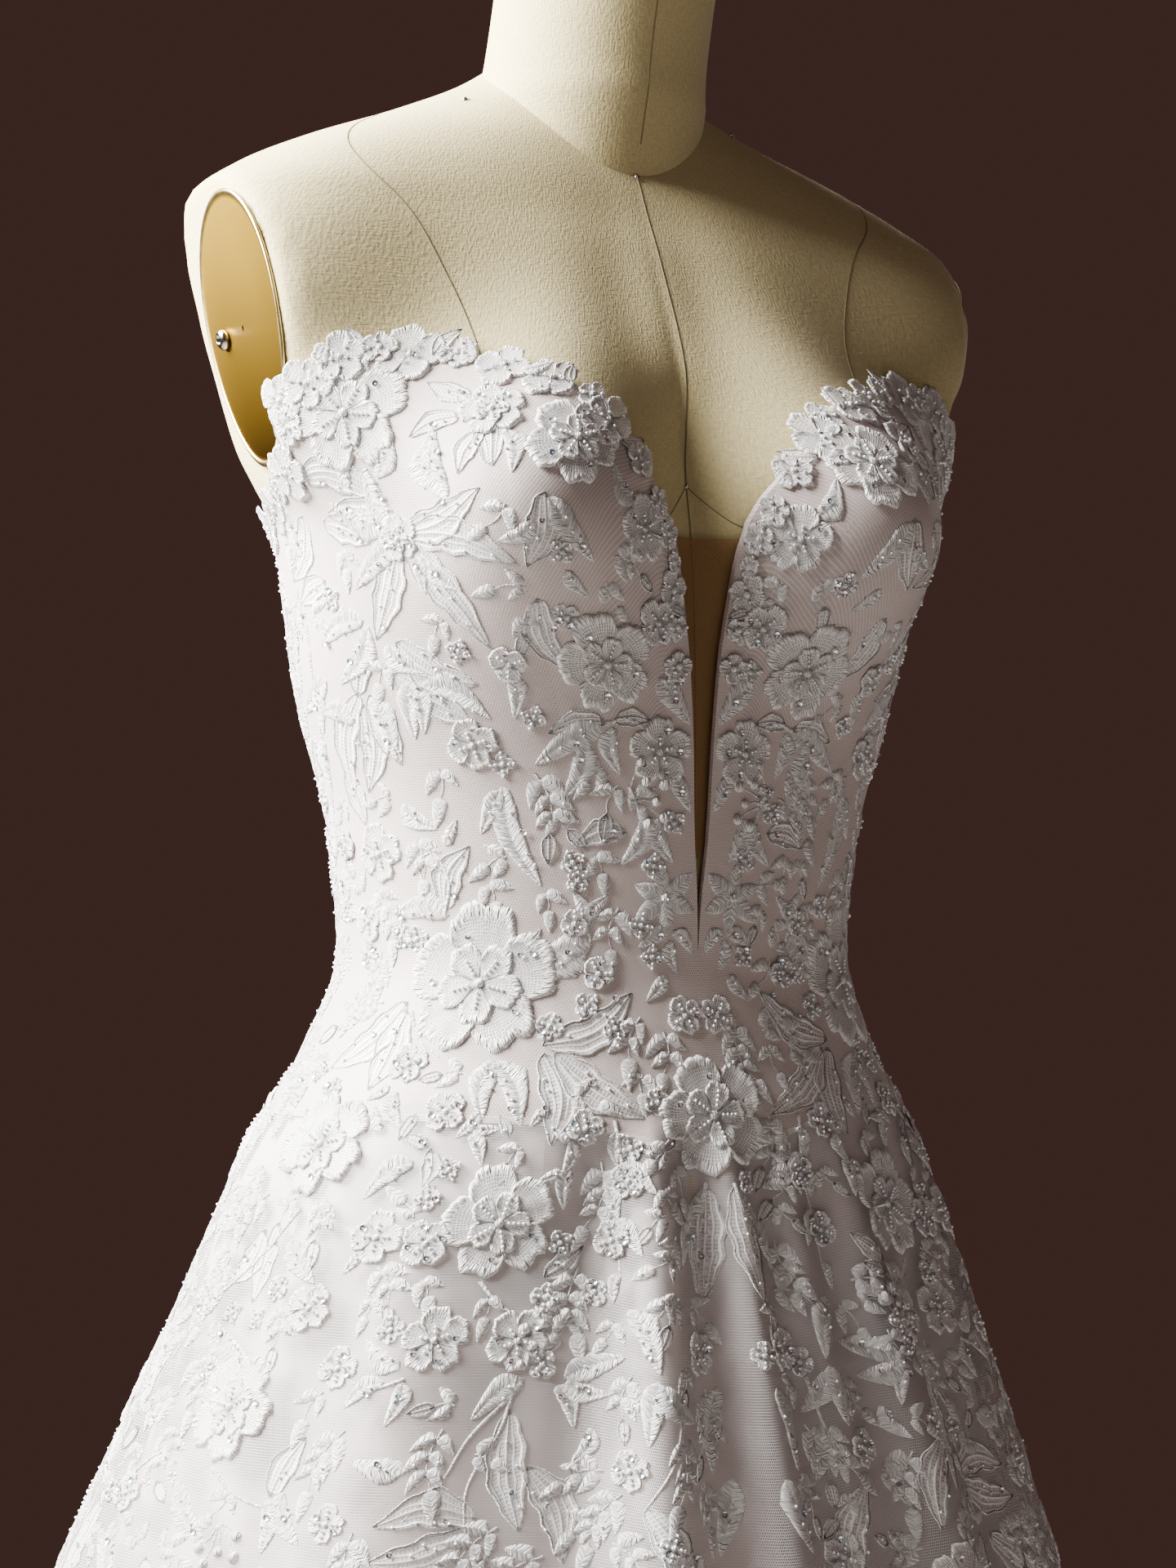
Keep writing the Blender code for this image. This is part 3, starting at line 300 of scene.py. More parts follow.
def ease(share):
    share = np.clip(share, 0, 1)
    return share * share * (3 - 2 * share)


def unit(vectors):
    return vectors / np.linalg.norm(vectors, axis=-1, keepdims=True)


def steps_along(points, axis=0):
    """The lengths of the steps between points that follow each other along an axis."""
    return np.linalg.norm(np.diff(points, axis=axis), axis=-1)


def running(steps, axis=0):
    """The length from the first point to each one."""
    return np.insert(np.cumsum(steps, axis=axis), 0, 0.0, axis=axis)


def section_radius(rows, angle, height):
    """(radius, centre) of a section table in the direction of an angle in degrees."""
    across, along = np.sin(np.radians(angle)), np.cos(np.radians(angle))
    half, front, back, centre, square = (
        read_table(rows, "height", column, height) for column in Section._fields[1:])
    depth = np.where(along > 0, front, back)
    reach = (np.abs(across) / half) ** square + (np.abs(along) / depth) ** square
    return reach ** (-1 / square), centre


def turn_from(angle, other):
    """Degrees from one angle to another, the short way round."""
    return (np.asarray(angle) - other + 180) % 360 - 180


def mound(angle, height, shape):
    side = np.abs(turn_from(angle, 0)) - shape.angle
    up = height - shape.height
    spread = np.where(up > 0, shape.spread_up, shape.spread_down)
    return shape.reach * np.exp(-(side / shape.spread_angle) ** 2 / 2 - (up / spread) ** 2 / 2)


def form_radius(angle, height):
    radius, centre = section_radius(FORM, angle, height)
    return radius + mound(angle, height, FORM_BUST), centre


def arm_plane(height):
    return PLATE_X + PLATE_LEAN * (height - PLATE_HEIGHT)


def soft_least(first, second, softness):
    return -softness * np.logaddexp(-first / softness, -second / softness)


def linen_radius(angle, height):
    """The form with its armholes cut and the cut's edge rounded."""
    angle, height = np.broadcast_arrays(np.asarray(angle, float), np.asarray(height, float))
    radius, centre = form_radius(angle, height)
    radius = radius + mound(angle, height, ARM_FRONT) + mound(angle, height, BREASTBONE)
    across = np.maximum(np.abs(np.sin(np.radians(angle))), 1e-6)
    below = LINEN_BELOW * ease((ARM_LOW - 0.010 - height) / 0.02)
    lip = ARM_LIP * np.exp(-((angle - LIP_ANGLE) / LIP_SPREAD) ** 2 / 2)
    return soft_least(radius, (arm_plane(height) + below + lip) / across, LINEN_SOFT), centre


def fold_height(angle, height):
    """How far the folds carry the tulle in or out."""
    total = np.zeros_like(angle + height)
    for fold in FOLDS:
        down = np.clip((fold.start - height) / (fold.start - HEM_TULLE), 0, 1) ** FOLD_GROWTH
        off = turn_from(angle, fold.angle) / fold.width
        ridge = np.exp(-off ** 2 / 2)
        valley = FOLD_VALLEY * np.exp(-(off / FOLD_VALLEY_WIDTH) ** 2 / 2)
        total = total + fold.height * down * (ridge - valley)
    return total


def crease_height(angle, height):
    """The small creases of the skirt and the dips along the bodice's seams."""
    total = np.zeros_like(angle + height)
    for crease in CREASES:
        share = np.clip((crease.top - height) / (crease.top - crease.bottom), 0, 1)
        off = turn_from(angle, crease.angle) / crease.width
        grown = np.sin(math.pi * share ** CREASE_EARLY) ** CREASE_BROAD
        total = total + crease.depth * grown * np.exp(-off ** 2 / 2)
    above = ease((height + 0.08) / 0.02)
    for seam in (FRONT_SEAM, SIDE_SEAM, BACK_SEAM):
        off = (np.abs(turn_from(angle, 0)) - seam_angle(seam, height)) / SEAM_SPREAD
        total = total - above * SEAM_TROUGH * np.exp(-off ** 2 / 2)
    return total


def dress_radius(angle, height, folds=1.0):
    """(radius, centre) of the cloth's outer face: the bodice above and the tulle below."""
    angle, height = np.broadcast_arrays(np.asarray(angle, float), np.asarray(height, float))
    snug, centre = section_radius(FORM, angle, height)
    for shape in (CUP, BRIDGE, CORNER):
        snug = snug + mound(angle, height, shape)
    across = np.maximum(np.abs(np.sin(np.radians(angle))), 1e-6)
    below = ease((ARM_LOW - height) / ARM_FADE)
    limit = (arm_plane(height) + ARM_CLEAR + below) / across
    snug = soft_least(snug, limit, ARM_SOFT) + FORM_GAP + BODICE_WALL
    flare, flare_centre = section_radius(SKIRT, angle, height)
    top, bottom = SKIRT_FROM
    share = ease((top - height) / (top - bottom))
    radius = snug * (1 - share) + flare * share + folds * fold_height(angle, height)
    radius = radius + crease_height(angle, height)
    return radius, centre * (1 - share) + flare_centre * share


def layer_gap(height):
    hip = LAYER_STAND * ease((WAIST_SEAM - height) / (WAIST_SEAM - LAYER_HIP))
    below = np.clip((LAYER_HIP - height) / (LAYER_HIP - HEM_TULLE), 0, 1)
    return LAYER_GAP + hip + (LAYER_HEM - LAYER_STAND) * below


def point_at(angle, height, radius, centre):
    """World points from an angle, a height above the waist and a radius round a centre."""
    turned = np.radians(angle)
    x = AXIS_X + radius * np.sin(turned)
    y = AXIS_Y + centre - radius * np.cos(turned)
    return np.stack(np.broadcast_arrays(x, y, WAIST + np.asarray(height, float)), -1)


def lining_radius(angle, height):
    radius, centre = dress_radius(angle, height, LINING_FOLDS)
    return radius - layer_gap(height), centre


def overlay_radius(angle, height):
    """The tulle, which laps over the foot of the bodice by the waist seam."""
    radius, centre = dress_radius(angle, height)
    above = height - waist_seam(turn_from(angle, 0))
    return radius + LAP_RISE * ease((above + LAP_FADE) / LAP_FADE), centre


def inset_radius(angle, height):
    radius, centre = form_radius(angle, height)
    return radius + INSET_GAP + INSET_WALL, centre


def surface_point(surface, angle, height):
    return point_at(angle, height, *surface(angle, height))


def outward(angle, height, surface=dress_radius):
    """Unit normals of a surface."""
    around = surface_point(surface, angle + 0.2, height)
    around = around - surface_point(surface, angle - 0.2, height)
    up = surface_point(surface, angle, height + 0.001)
    up = up - surface_point(surface, angle, height - 0.001)
    return unit(np.cross(around, up))


def wall_points(surface, angle, height, wall):
    """Outer and inner points of a wall, level with each other, so that its edges stay level."""
    radius, centre = surface(angle, height)
    turned = np.radians(angle)
    level = np.stack([np.sin(turned), -np.cos(turned), np.zeros_like(turned)], -1)
    square_on = np.maximum((outward(angle, height, surface) * level).sum(-1), 0.5)
    inner = point_at(angle, height, radius - wall / square_on, centre)
    return point_at(angle, height, radius, centre), inner


def neckline(angle):
    return read_table(NECKLINE, "angle", "height", np.maximum(np.abs(angle), NECKLINE[0].angle))


def waist_seam(angle):
    return WAIST_SEAM - WAIST_DIP * np.exp(-(np.asarray(angle, float) / 25) ** 2)


def seam_angle(seam, height):
    return read_table(seam, "height", "angle", height)


SKIN_REACH, SKIN_TURN, SKIN_STEP = 206, 0.75, 0.002   # degrees each way, and the table's steps
LACE_HEIGHTS, SEAM_HEIGHTS = (-0.36, 0.32), (0.02, 0.40)


class Skin:
    """A surface tabled once over angles and heights, so that lace is laid on it quickly."""

    def __init__(self, surface, low, high):
        self.angles = np.arange(-SKIN_REACH, SKIN_REACH + 0.1, SKIN_TURN)
        self.heights = np.arange(low, high + 0.001, SKIN_STEP)
        angle, height = np.meshgrid(self.angles, self.heights)
        self.points = surface_point(surface, angle, height)
        self.normals = outward(angle, height, surface)
        self.across = running(steps_along(self.points, 1), 1)
        self.across -= self.across[:, [len(self.angles) // 2]]
        self.rise = running(steps_along(self.points))

    def cell(self, angle, height):
        row = int(round((height - self.heights[0]) / SKIN_STEP))
        column = int(round((angle - self.angles[0]) / SKIN_TURN))
        return (min(max(row, 0), len(self.heights) - 1), min(max(column, 0), len(self.angles) - 1))

    def span(self, first, last):
        """Metres across and up the surface from one (angle, height) to another."""
        row, column = self.cell((first[0] + last[0]) / 2, (first[1] + last[1]) / 2)
        across = np.interp((first[0], last[0]), self.angles, self.across[row])
        rise = np.interp((first[1], last[1]), self.heights, self.rise[:, column])
        return across[1] - across[0], rise[1] - rise[0]

    def moved(self, place, across, up):
        """The angles and heights of points in metres across and up from a place."""
        row, column = self.cell(*place)
        start = np.interp(place[0], self.angles, self.across[row])
        angle = np.interp(start + across, self.across[row], self.angles)
        start = np.interp(place[1], self.heights, self.rise[:, column])
        return angle, np.interp(start + up, self.rise[:, column], self.heights)

    def lay(self, place, across, up, lift):
        """World points of a motif drawn flat, in metres across and up from its place."""
        return self.at(*self.moved(place, across, up), lift)

    def at(self, angle, height, lift):
        i = np.clip((height - self.heights[0]) / SKIN_STEP, 0, len(self.heights) - 1.001)
        j = np.clip((angle - self.angles[0]) / SKIN_TURN, 0, len(self.angles) - 1.001)
        row, column = i.astype(int), j.astype(int)
        i, j = (i - row)[..., None], (j - column)[..., None]
        found = []
        for table in (self.points, self.normals):
            low = table[row, column] * (1 - j) + table[row, column + 1] * j
            high = table[row + 1, column] * (1 - j) + table[row + 1, column + 1] * j
            found.append(low * (1 - i) + high * i)
        return found[0] + found[1] * np.asarray(lift)[..., None]


# ---------------------------------------------------------------- making objects
def grid_quads(rows, columns, wrap=False):
    """Faces of a grid whose rows run up and whose columns run to the left of the wearer."""
    row, column = np.meshgrid(np.arange(rows - 1), np.arange(columns if wrap else columns - 1),
                              indexing="ij")
    following = (column + 1) % columns
    low, high = row * columns, (row + 1) * columns
    return np.stack([low + column, low + following, high + following, high + column],
                    -1).reshape(-1, 4)


def linked(name, data):
    obj = bpy.data.objects.new(name, data)
    bpy.context.scene.collection.objects.link(obj)
    return obj


def add_mesh(name, points, faces, finishes, uvs=None, choice=None):
    """A mesh object from arrays. uvs are {layer: one pair for each point}."""
    mesh = bpy.data.meshes.new(name)
    mesh.from_pydata([], [], [])
    points, faces = np.asarray(points, float).reshape(-1, 3), np.asarray(faces)
    mesh.vertices.add(len(points))
    mesh.vertices.foreach_set("co", points.ravel())
    size = faces.shape[1]
    mesh.loops.add(faces.size)
    mesh.loops.foreach_set("vertex_index", faces.ravel().astype(np.int32))
    mesh.polygons.add(len(faces))
    mesh.polygons.foreach_set("loop_start", np.arange(0, faces.size, size, dtype=np.int32))
    mesh.update(calc_edges=True)
    mesh.validate()
    for layer, pairs in (uvs or {}).items():
        held = mesh.uv_layers.new(name=layer)
        order = np.empty(len(mesh.loops), np.int32)
        mesh.loops.foreach_get("vertex_index", order)
        held.data.foreach_set("uv", np.asarray(pairs, float).reshape(-1, 2)[order].ravel())
    for finish in finishes:
        mesh.materials.append(finish)
    if choice is not None and len(choice) == len(mesh.polygons):
        mesh.polygons.foreach_set("material_index", np.asarray(choice, np.int32))
    mesh.shade_smooth()
    return linked(name, mesh)


def piece(obj, slot, *nodes):
    """A piece of the part that stands for CAD nodes: it hangs on the root body and hides them.
    slot is not used.
    """
    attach(obj, "root")
    if nodes:
        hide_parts(*nodes)
    return obj


def cloth_uv(points):
    """Metres along a grid of points each way, for the weave."""
    u, v = running(steps_along(points, 1).mean(0)), running(steps_along(points).mean(1))
    return np.stack(np.meshgrid(u - u[-1] / 2, v), -1)


RIM_SHARE = 0.35        # how far the rim's two lanes stand in from each face


def two_skins(name, outer, inner, finish):
    """A panel of cloth with an outer and an inner face and a flat rim of three strips between
    them.
    """
    rows, columns = outer.shape[:2]
    skin, count = grid_quads(rows, columns), rows * columns
    rim = list(range(columns))
    rim += [i * columns + columns - 1 for i in range(1, rows)]
    rim += [(rows - 1) * columns + j for j in range(columns - 2, -1, -1)]
    rim += [i * columns for i in range(rows - 2, 0, -1)]
    outer_flat, inner_flat = outer.reshape(-1, 3), inner.reshape(-1, 3)
    first, last = outer_flat[rim], inner_flat[rim]
    middle = (first + last) / 2
    lanes = [face * (1 - RIM_SHARE) + middle * RIM_SHARE for face in (first, last)]
    points = np.concatenate([outer_flat, inner_flat, first, *lanes, last])
    faces = [skin, skin[:, ::-1] + count]
    lane = 2 * count + np.arange(len(rim))       # the rim has its own points, so it shades alone
    for _ in range(3):
        following, below = np.roll(lane, -1), lane + len(rim)
        faces.append(np.stack([following, lane, below, np.roll(below, -1)], -1))
        lane = below
    uv = cloth_uv(outer).reshape(-1, 2)
    uv = np.concatenate([uv, uv] + [uv[rim]] * 4)
    return add_mesh(name, points, np.concatenate(faces), [finish], {"cloth": uv})


def one_skin(name, points, finish):
    return add_mesh(name, points, grid_quads(*points.shape[:2]), [finish],
                    {"cloth": cloth_uv(points)})


def grid_size(points):
    """The flat (width, length) and the area of a grid of points."""
    width, length = steps_along(points, 1).sum(1).max(), steps_along(points).sum(0).max()
    one, two = points[1:, 1:] - points[:-1, :-1], points[1:, :-1] - points[:-1, 1:]
    area = np.linalg.norm(np.cross(one, two), axis=-1).sum() / 2
    return (float(width), float(length)), float(min(area, width * length))


# ---------------------------------------------------------------- materials
HEX_RISE, THREAD_SOFT = math.sqrt(3) / 2, 0.03
SATIN_WOVEN = {"Sheen Weight": 0.15, "Sheen Roughness": 0.5}


class Finish:
    """A material under construction: its node tree, its shader and short ways to add to it."""

    def __init__(self, name, colour, roughness, **values):
        self.material = bpy.data.materials.new(name)
        self.material.use_nodes = True
        self.material.diffuse_color = (*colour, 1)
        self.tree = self.material.node_tree
        self.shader = self.tree.nodes["Principled BSDF"]
        self.output = self.tree.nodes["Material Output"]
        self.set(self.shader, {"Base Color": (*colour, 1), "Roughness": roughness, **values})

    def set(self, node, values):
        for key, value in values.items():
            if isinstance(value, bpy.types.NodeSocket):
                self.tree.links.new(value, node.inputs[key])
            else:
                node.inputs[key].default_value = value

    def add(self, kind, values=None, out=0, **settings):
        node = self.tree.nodes.new(kind)
        for key, value in settings.items():
            setattr(node, key, value)
        self.set(node, values or {})
        return node.outputs[out]

    def math(self, operation, *values):
        return self.add("ShaderNodeMath", dict(enumerate(values)), operation=operation)

    def vector(self, operation, *values, out=0, **more):
        return self.add("ShaderNodeVectorMath", {**dict(enumerate(values)), **more}, out,
                        operation=operation)

    def paint(self, colour, **values):
        """Sets the shader's colour, and any other of its inputs."""
        self.set(self.shader, {"Base Color": colour, **values})

    def mix(self, share, first, second):
        """From one colour to another, each a socket or red, green and blue."""
        node = self.tree.nodes.new("ShaderNodeMix")
        node.data_type = "RGBA"
        first, second = ((*c, 1) if isinstance(c, tuple) else c for c in (first, second))
        self.set(node, {0: share, 6: first, 7: second})
        return node.outputs[2]

    def range(self, value, low, high, to_low=0.0, to_high=1.0):
        return self.add("ShaderNodeMapRange", {0: value, 1: low, 2: high, 3: to_low, 4: to_high})

    def uv(self, layer):
        return self.add("ShaderNodeUVMap", uv_map=layer)

    def waves(self, value, shift, length):
        """A sine along a length in metres, shifted by another value."""
        return self.math("SINE", self.math("MULTIPLY_ADD", value, 2 * math.pi / length, shift))

    def noise(self, vector, scale, detail):
        return self.add("ShaderNodeTexNoise", {"Vector": vector, "Scale": scale, "Detail": detail,
                                               "Roughness": 0.5})

    def grain(self, uv, across, along, detail=1.0):
        """Noise drawn out along the threads: how fine it is each way."""
        return self.noise(self.vector("MULTIPLY", uv, (across, along, 0)), 1.0, detail)

    def bump(self, height, distance, strength=1.0):
        normal = self.add("ShaderNodeBump", {"Height": height, "Distance": distance,
                                             "Strength": strength})
        self.set(self.shader, {"Normal": normal})

    def see_through(self, share):
        """Holes where share is 0."""
        clear = self.add("ShaderNodeBsdfTransparent")
        both = self.add("ShaderNodeMixShader", {0: share, 1: clear,
                                                2: self.shader.outputs[0]})
        self.set(self.output, {"Surface": both})

    def hex_net(self, uv, pitch, thread):
        """1 on the threads of a net with six-sided holes and 0 in its holes.

        pitch is in metres, and thread is half a thread's width as a share of it."""
        scaled = self.vector("SCALE", uv, Scale=1 / pitch)
        flat = self.vector("MULTIPLY", scaled, (1, 1, 0))
        half, low = (0.5, HEX_RISE, 1), (-0.5, -HEX_RISE, -1)
        one = self.vector("WRAP", flat, half, low)
        two = self.vector("WRAP", self.vector("SUBTRACT", flat, (*half[:2], 0)), half, low)
        nearer = self.math("LESS_THAN", self.vector("LENGTH", one, out=1),
                           self.vector("LENGTH", two, out=1))
        mixed = self.add("ShaderNodeMix", {0: nearer, 4: two, 5: one}, 1, data_type="VECTOR")
        folded = self.vector("ABSOLUTE", mixed)
        slanted = self.vector("DOT_PRODUCT", folded, (0.5, HEX_RISE, 0), out=1)
        straight = self.vector("DOT_PRODUCT", folded, (1, 0, 0), out=1)
        return self.range(self.math("MAXIMUM", slanted, straight), 0.5 - thread - THREAD_SOFT,
                          0.5 - thread + THREAD_SOFT)


def shaded(colour, share):
    return tuple(share * value for value in colour)


def bodice_cloth():
    """Blush satin seen through fine ivory net."""
    made = Finish("blush satin under net", (0.70, 0.615, 0.60), 0.50, **SATIN_WOVEN)
    uv = made.uv("cloth")
    net = made.hex_net(uv, 0.00125, 0.13)
    soft = made.noise(uv, 22.0, 3.0)
    ground = made.mix(soft, (0.500, 0.409, 0.389), (0.580, 0.489, 0.469))
    made.paint(made.mix(net, ground, (0.76, 0.71, 0.69)))
    made.bump(net, 0.00025, 0.7)
    return made.material


def lining_cloth():
    made = Finish("blush satin", (0.76, 0.69, 0.675), 0.42)
    soft = made.noise(made.uv("cloth"), 14.0, 3.0)
    made.paint(made.mix(soft, (0.570, 0.488, 0.470), (0.645, 0.562, 0.544)))
    return made.material


def net_cloth(name, colour, roughness, pitch, thread, more, least):
    """Net whose holes are filled this least share, and its threads so much more."""
    made = Finish(name, colour, roughness)
    net = made.hex_net(made.uv("cloth"), pitch, thread)
    made.see_through(made.math("MULTIPLY_ADD", net, more, least))
    return made.material


def stitched_lace(name, light):
    """Raised stitches: streaks along each thread, in bundles and singly."""
    made = Finish(name, light, 0.36, **{"Sheen Weight": 0.40, "Sheen Roughness": 0.3})
    uv = made.uv("thread")
    bundle = made.grain(uv, 1 / 0.00125, 1 / 0.009)
    single = made.grain(uv, 1 / 0.00050, 1 / 0.004)
    streak = made.math("MULTIPLY_ADD", bundle, 1.3, single)
    # The stitches are paler where they stand high and darker where they lie low: uneven thread
    # tone, and painted shade in the grooves between threads.
    made.paint(made.mix(made.range(streak, 0.95, 1.28), shaded(light, 0.80), light),
               Roughness=made.range(streak, 0.9, 1.4, 0.44, 0.18))
    made.bump(streak, 0.0018, 1.0)
    return made.material


def open_lace():
    """The inside of an open leaf: cords along it and stitches between them, over the net."""
    made = Finish("open lace", (0.92, 0.91, 0.90), 0.42)
    uv = made.uv("thread")
    parts = made.add("ShaderNodeSeparateXYZ", {0: uv})
    wobble = made.grain(uv, 2.0, 130.0, 2.0)
    cords = made.math("SINE", made.math("MULTIPLY_ADD", wobble, 2.6,
                                        made.math("MULTIPLY", parts, 16.5)))
    rungs = made.waves(parts.node.outputs[1], made.math("MULTIPLY", parts, 3.0), 0.0017)
    cord_line = made.range(cords, 0.10, 0.75)
    rung_line = made.range(rungs, 0.35, 0.85, 0.0, 0.62)
    line = made.math("MAXIMUM", cord_line, rung_line)
    cloud = made.range(made.grain(uv, 3.0, 420.0), 0.42, 0.60, 0.0, 0.75)
    made.see_through(made.math("MAXIMUM", made.range(line, 0, 1, 0.38, 1.0), cloud))
    made.bump(line, 0.0006, 0.8)
    return made.material


def open_petal():
    """The inside of a petal: stitches that cross, with the cloth seen between them."""
    made = Finish("open petal", (0.93, 0.92, 0.91), 0.40)
    uv = made.uv("thread")
    parts = made.add("ShaderNodeSeparateXYZ", {0: uv})
    bent = made.math("MULTIPLY", made.grain(uv, 320.0, 320.0, 2.0), 7.0)
    rays = made.waves(parts, bent, 0.0012)
    rings = made.waves(parts.node.outputs[1], bent, 0.0015)
    line = made.math("MAXIMUM", made.range(rays, 0.0, 0.7), made.range(rings, 0.25, 0.9, 0.0, 0.7))
    made.see_through(made.range(line, 0, 1, 0.45, 1.0))
    made.bump(line, 0.0006, 0.8)
    return made.material


def glass_bead():
    return Finish("glass bead", (0.95, 0.955, 0.97), 0.07,
                  **{"Metallic": 0.12, "Coat Weight": 0.9}).material


def sequin_finish():
    made = Finish("sequin", (0.85, 0.88, 0.93), 0.16, **{"Metallic": 0.75})
    place = made.add("ShaderNodeTexCoord", out=3)
    colour = made.add("ShaderNodeValToRGB", {0: made.noise(place, 260.0, 0.0)})
    stops = colour.node.color_ramp.elements
    stops.new(0.5)
    for stop, place, shade in zip(stops, (0.30, 0.5, 0.72),
                                  ((0.62, 0.78, 0.92), (0.96, 0.96, 0.94), (0.95, 0.82, 0.90))):
        stop.position, stop.color = place, (*shade, 1)
    made.paint(colour)
    return made.material


def linen_cloth(name, shade):
    """Plain woven linen with fine uneven threads."""
    light = shaded((0.60, 0.525, 0.30), shade)
    made = Finish(name, light, 0.85, **{"Sheen Weight": 0.15})
    uv = made.uv("cloth")
    weave = made.math("MULTIPLY_ADD", made.grain(uv, 1100, 330, 2.0), 1.25,
                      made.grain(uv, 330, 1100, 2.0))
    made.paint(made.mix(made.range(weave, 0.85, 1.40), shaded(light, 0.84), light))
    made.bump(weave, 0.0003, 0.7)
    return made.material


def brushed(name, colour, roughness, grain=0.04, metallic=1.0):
    """Metal whose roughness varies a little from place to place."""
    made = Finish(name, colour, roughness, Metallic=metallic)
    cloud = made.noise(made.add("ShaderNodeTexCoord", out=3), 180.0, 3.0)
    made.set(made.shader, {"Roughness": made.range(cloud, 0.3, 0.7, roughness - grain,
                                                   roughness + grain)})
    return made.material


def plate_gold():
    """Satin gold with a painted reflection: nearly black at its foot, mirroring a dark room, paler
    toward its top.
    """
    made = Finish("satin gold", (0.62, 0.42, 0.10), 0.40, Metallic=1.0)
    place = made.add("ShaderNodeTexCoord", out=3)
    height = made.add("ShaderNodeSeparateXYZ", {0: place}).node.outputs[2]
    middle = WAIST + PLATE_HEIGHT
    share = made.range(height, middle - PLATE_HALF_HEIGHT, middle + PLATE_HALF_HEIGHT)
    # painted reflection: the colour runs from nearly black at the plate's foot to pale gold at its
    # top
    made.paint(made.mix(share, (0.045, 0.020, 0.001), (0.62, 0.42, 0.085)))
    return made.material


# ---------------------------------------------------------------- drawing the lace
# The sines of a motif's number, size or turn make each one a little different from the next.
# Random draws choose only where sequins lie, how the filling sprigs grow and how sequins tilt.
HAND_SEED, FRONT_SEED, BACK_SEED, TILT_SEED = 7, 11, 21, 3
# How close the points of a leaf and a petal are, and how uneven their edges; the height of
# cords and of full stitches; and the places of the open finishes in each lace's list.
LEAF_STEP, PETAL_STEP, SERRATION = 0.00190, 0.00155, 0.00032
LACE_CORD, CORD_RISE, SATIN_RISE = 0.00085, 0.00066, 0.00074
STEM_WIDTH, STEM_RISE, STEM_STEP, STEM_TAPER = 0.0010, 0.0007, 0.0022, 0.65
OPEN_LEAF, OPEN_PETAL, OPEN_FROM = 1, 2, 0.0075
# Across a stem, and from a flower's centre to a petal's rim: the share of the width or of the
# reach, and how high the stitches stand there.
CORD_SHARE, CORD_LEVEL = np.array([[-1.0, -0.7, 0.0, 0.7, 1.0], [0.0, 0.72, 1.0, 0.72, 0.0]])
PETAL_SHARE = np.array([0.08, 0.26, 0.48, 0.68, 0.82, 0.90, 0.965, 1.0])
PETAL_LEVEL = np.array([0.60, 0.34, 0.36, 0.50, 0.72, 1.0, 0.94, 0.0])
KNOT_SHARE = np.array([1.0, 0.92, 0.70, 0.36, 0.03])
STAR_SHARE, STAR_LEVEL = np.array([[-1.0, -0.9, -0.55, 0.0, 0.55, 0.9, 1.0],
                                   [0.0, 0.6, 1.0, 0.62, 1.0, 0.6, 0.0]])
# A full leaf from its edge inwards: shares of its half width and how high the stitches stand
# there; then the level of its vein, and how far its ridges stand out.
FULL_LEAF = {SMALL: (((1.0, 0.0), (0.68, 0.95)), 0.55, 0.14),
             SATIN: (((1.0, 0.0), (0.94, 0.55), (0.72, 0.95), (0.45, 1.0), (0.14, 0.80)),
                     0.52, 0.16)}
# The radii of the beads in flowers, along stems, in the star and on leaves, and of the sequins.
BEAD_BLOOM, BEAD_STEM, BEAD_LEAF, SEQUIN_BLOOM, SEQUIN_LEAF = (
    0.00085, 0.0008, 0.00075, 0.00145, 0.0014)


def toward(reach, turn):
    """(across, up) of a reach in a direction. 0 is straight up."""
    return reach * math.sin(turn), reach * math.cos(turn)


def round_grid(radius, shares, sides):
    """(across, up) of closed rings of points, one for each share of a radius."""
    turn = np.linspace(0, 2 * math.pi, sides)
    return np.outer(radius * shares, np.cos(turn)), np.outer(radius * shares, np.sin(turn))


class Lace:
    """Points, faces, stitch directions and finishes of one lace piece, gathered as it is drawn."""

    def __init__(self, name):
        self.name = name
        self.points, self.faces, self.threads, self.choice = [], [], [], []
        self.count = 0

    def add(self, points, faces, threads, choice):
        self.points.append(points.reshape(-1, 3))
        self.faces.append(faces + self.count)
        self.threads.append(np.asarray(threads, float).reshape(-1, 2))
        self.choice.append(np.broadcast_to(choice, len(faces)))
        self.count += len(self.points[-1])

    def make(self, finishes):
        points, faces = np.concatenate(self.points), np.concatenate(self.faces)
        threads, choice = np.concatenate(self.threads), np.concatenate(self.choice)
        return add_mesh(self.name, points, faces, finishes, {"thread": threads}, choice)


class Hand:
    """Lays motifs on a skin, on one side of the body, into a lace piece, with beads beside it."""

    def __init__(self, skin, side):
        self.skin, self.side = skin, side
        self.beads, self.sequins = [], []
        self.random = np.random.default_rng(HAND_SEED)

    def mirrored(self, place):
        """From the wearer's left to this hand's own side, or back."""
        return self.side * place[0], place[1]

    def stitch(self, lace, place, across, up, lift, threads, choice=0):
        """Lays a grid of points, drawn for the wearer's left and mirrored for the right."""
        points = self.skin.lay(self.mirrored(place), self.side * across, up, lift)
        faces = grid_quads(*points.shape[:2])
        lace.add(points, faces if self.side > 0 else faces[:, ::-1], threads, choice)

    def bead(self, place, across, up, lift, size):
        spot, above = (self.skin.lay(self.mirrored(place), np.float64(self.side * across),
                                     np.float64(up), level) for level in (lift, lift + 0.001))
        self.beads.append((spot, above - spot, size))

    def sequin(self, place, across, up, lift, size):
        self.bead(place, across, up, lift, size)
        self.sequins.append(self.beads.pop())

    def span(self, first, last):
        """Metres across and up from one place to another, drawn for the wearer's left."""
        return self.mirrored(self.skin.span(self.mirrored(first), self.mirrored(last)))

    def place_from(self, place, across, up):
        """The (angle, height) a little way across and up from a place."""
        angle, height = self.skin.moved(self.mirrored(place), self.side * across, up)
        return self.mirrored((float(angle), float(height)))


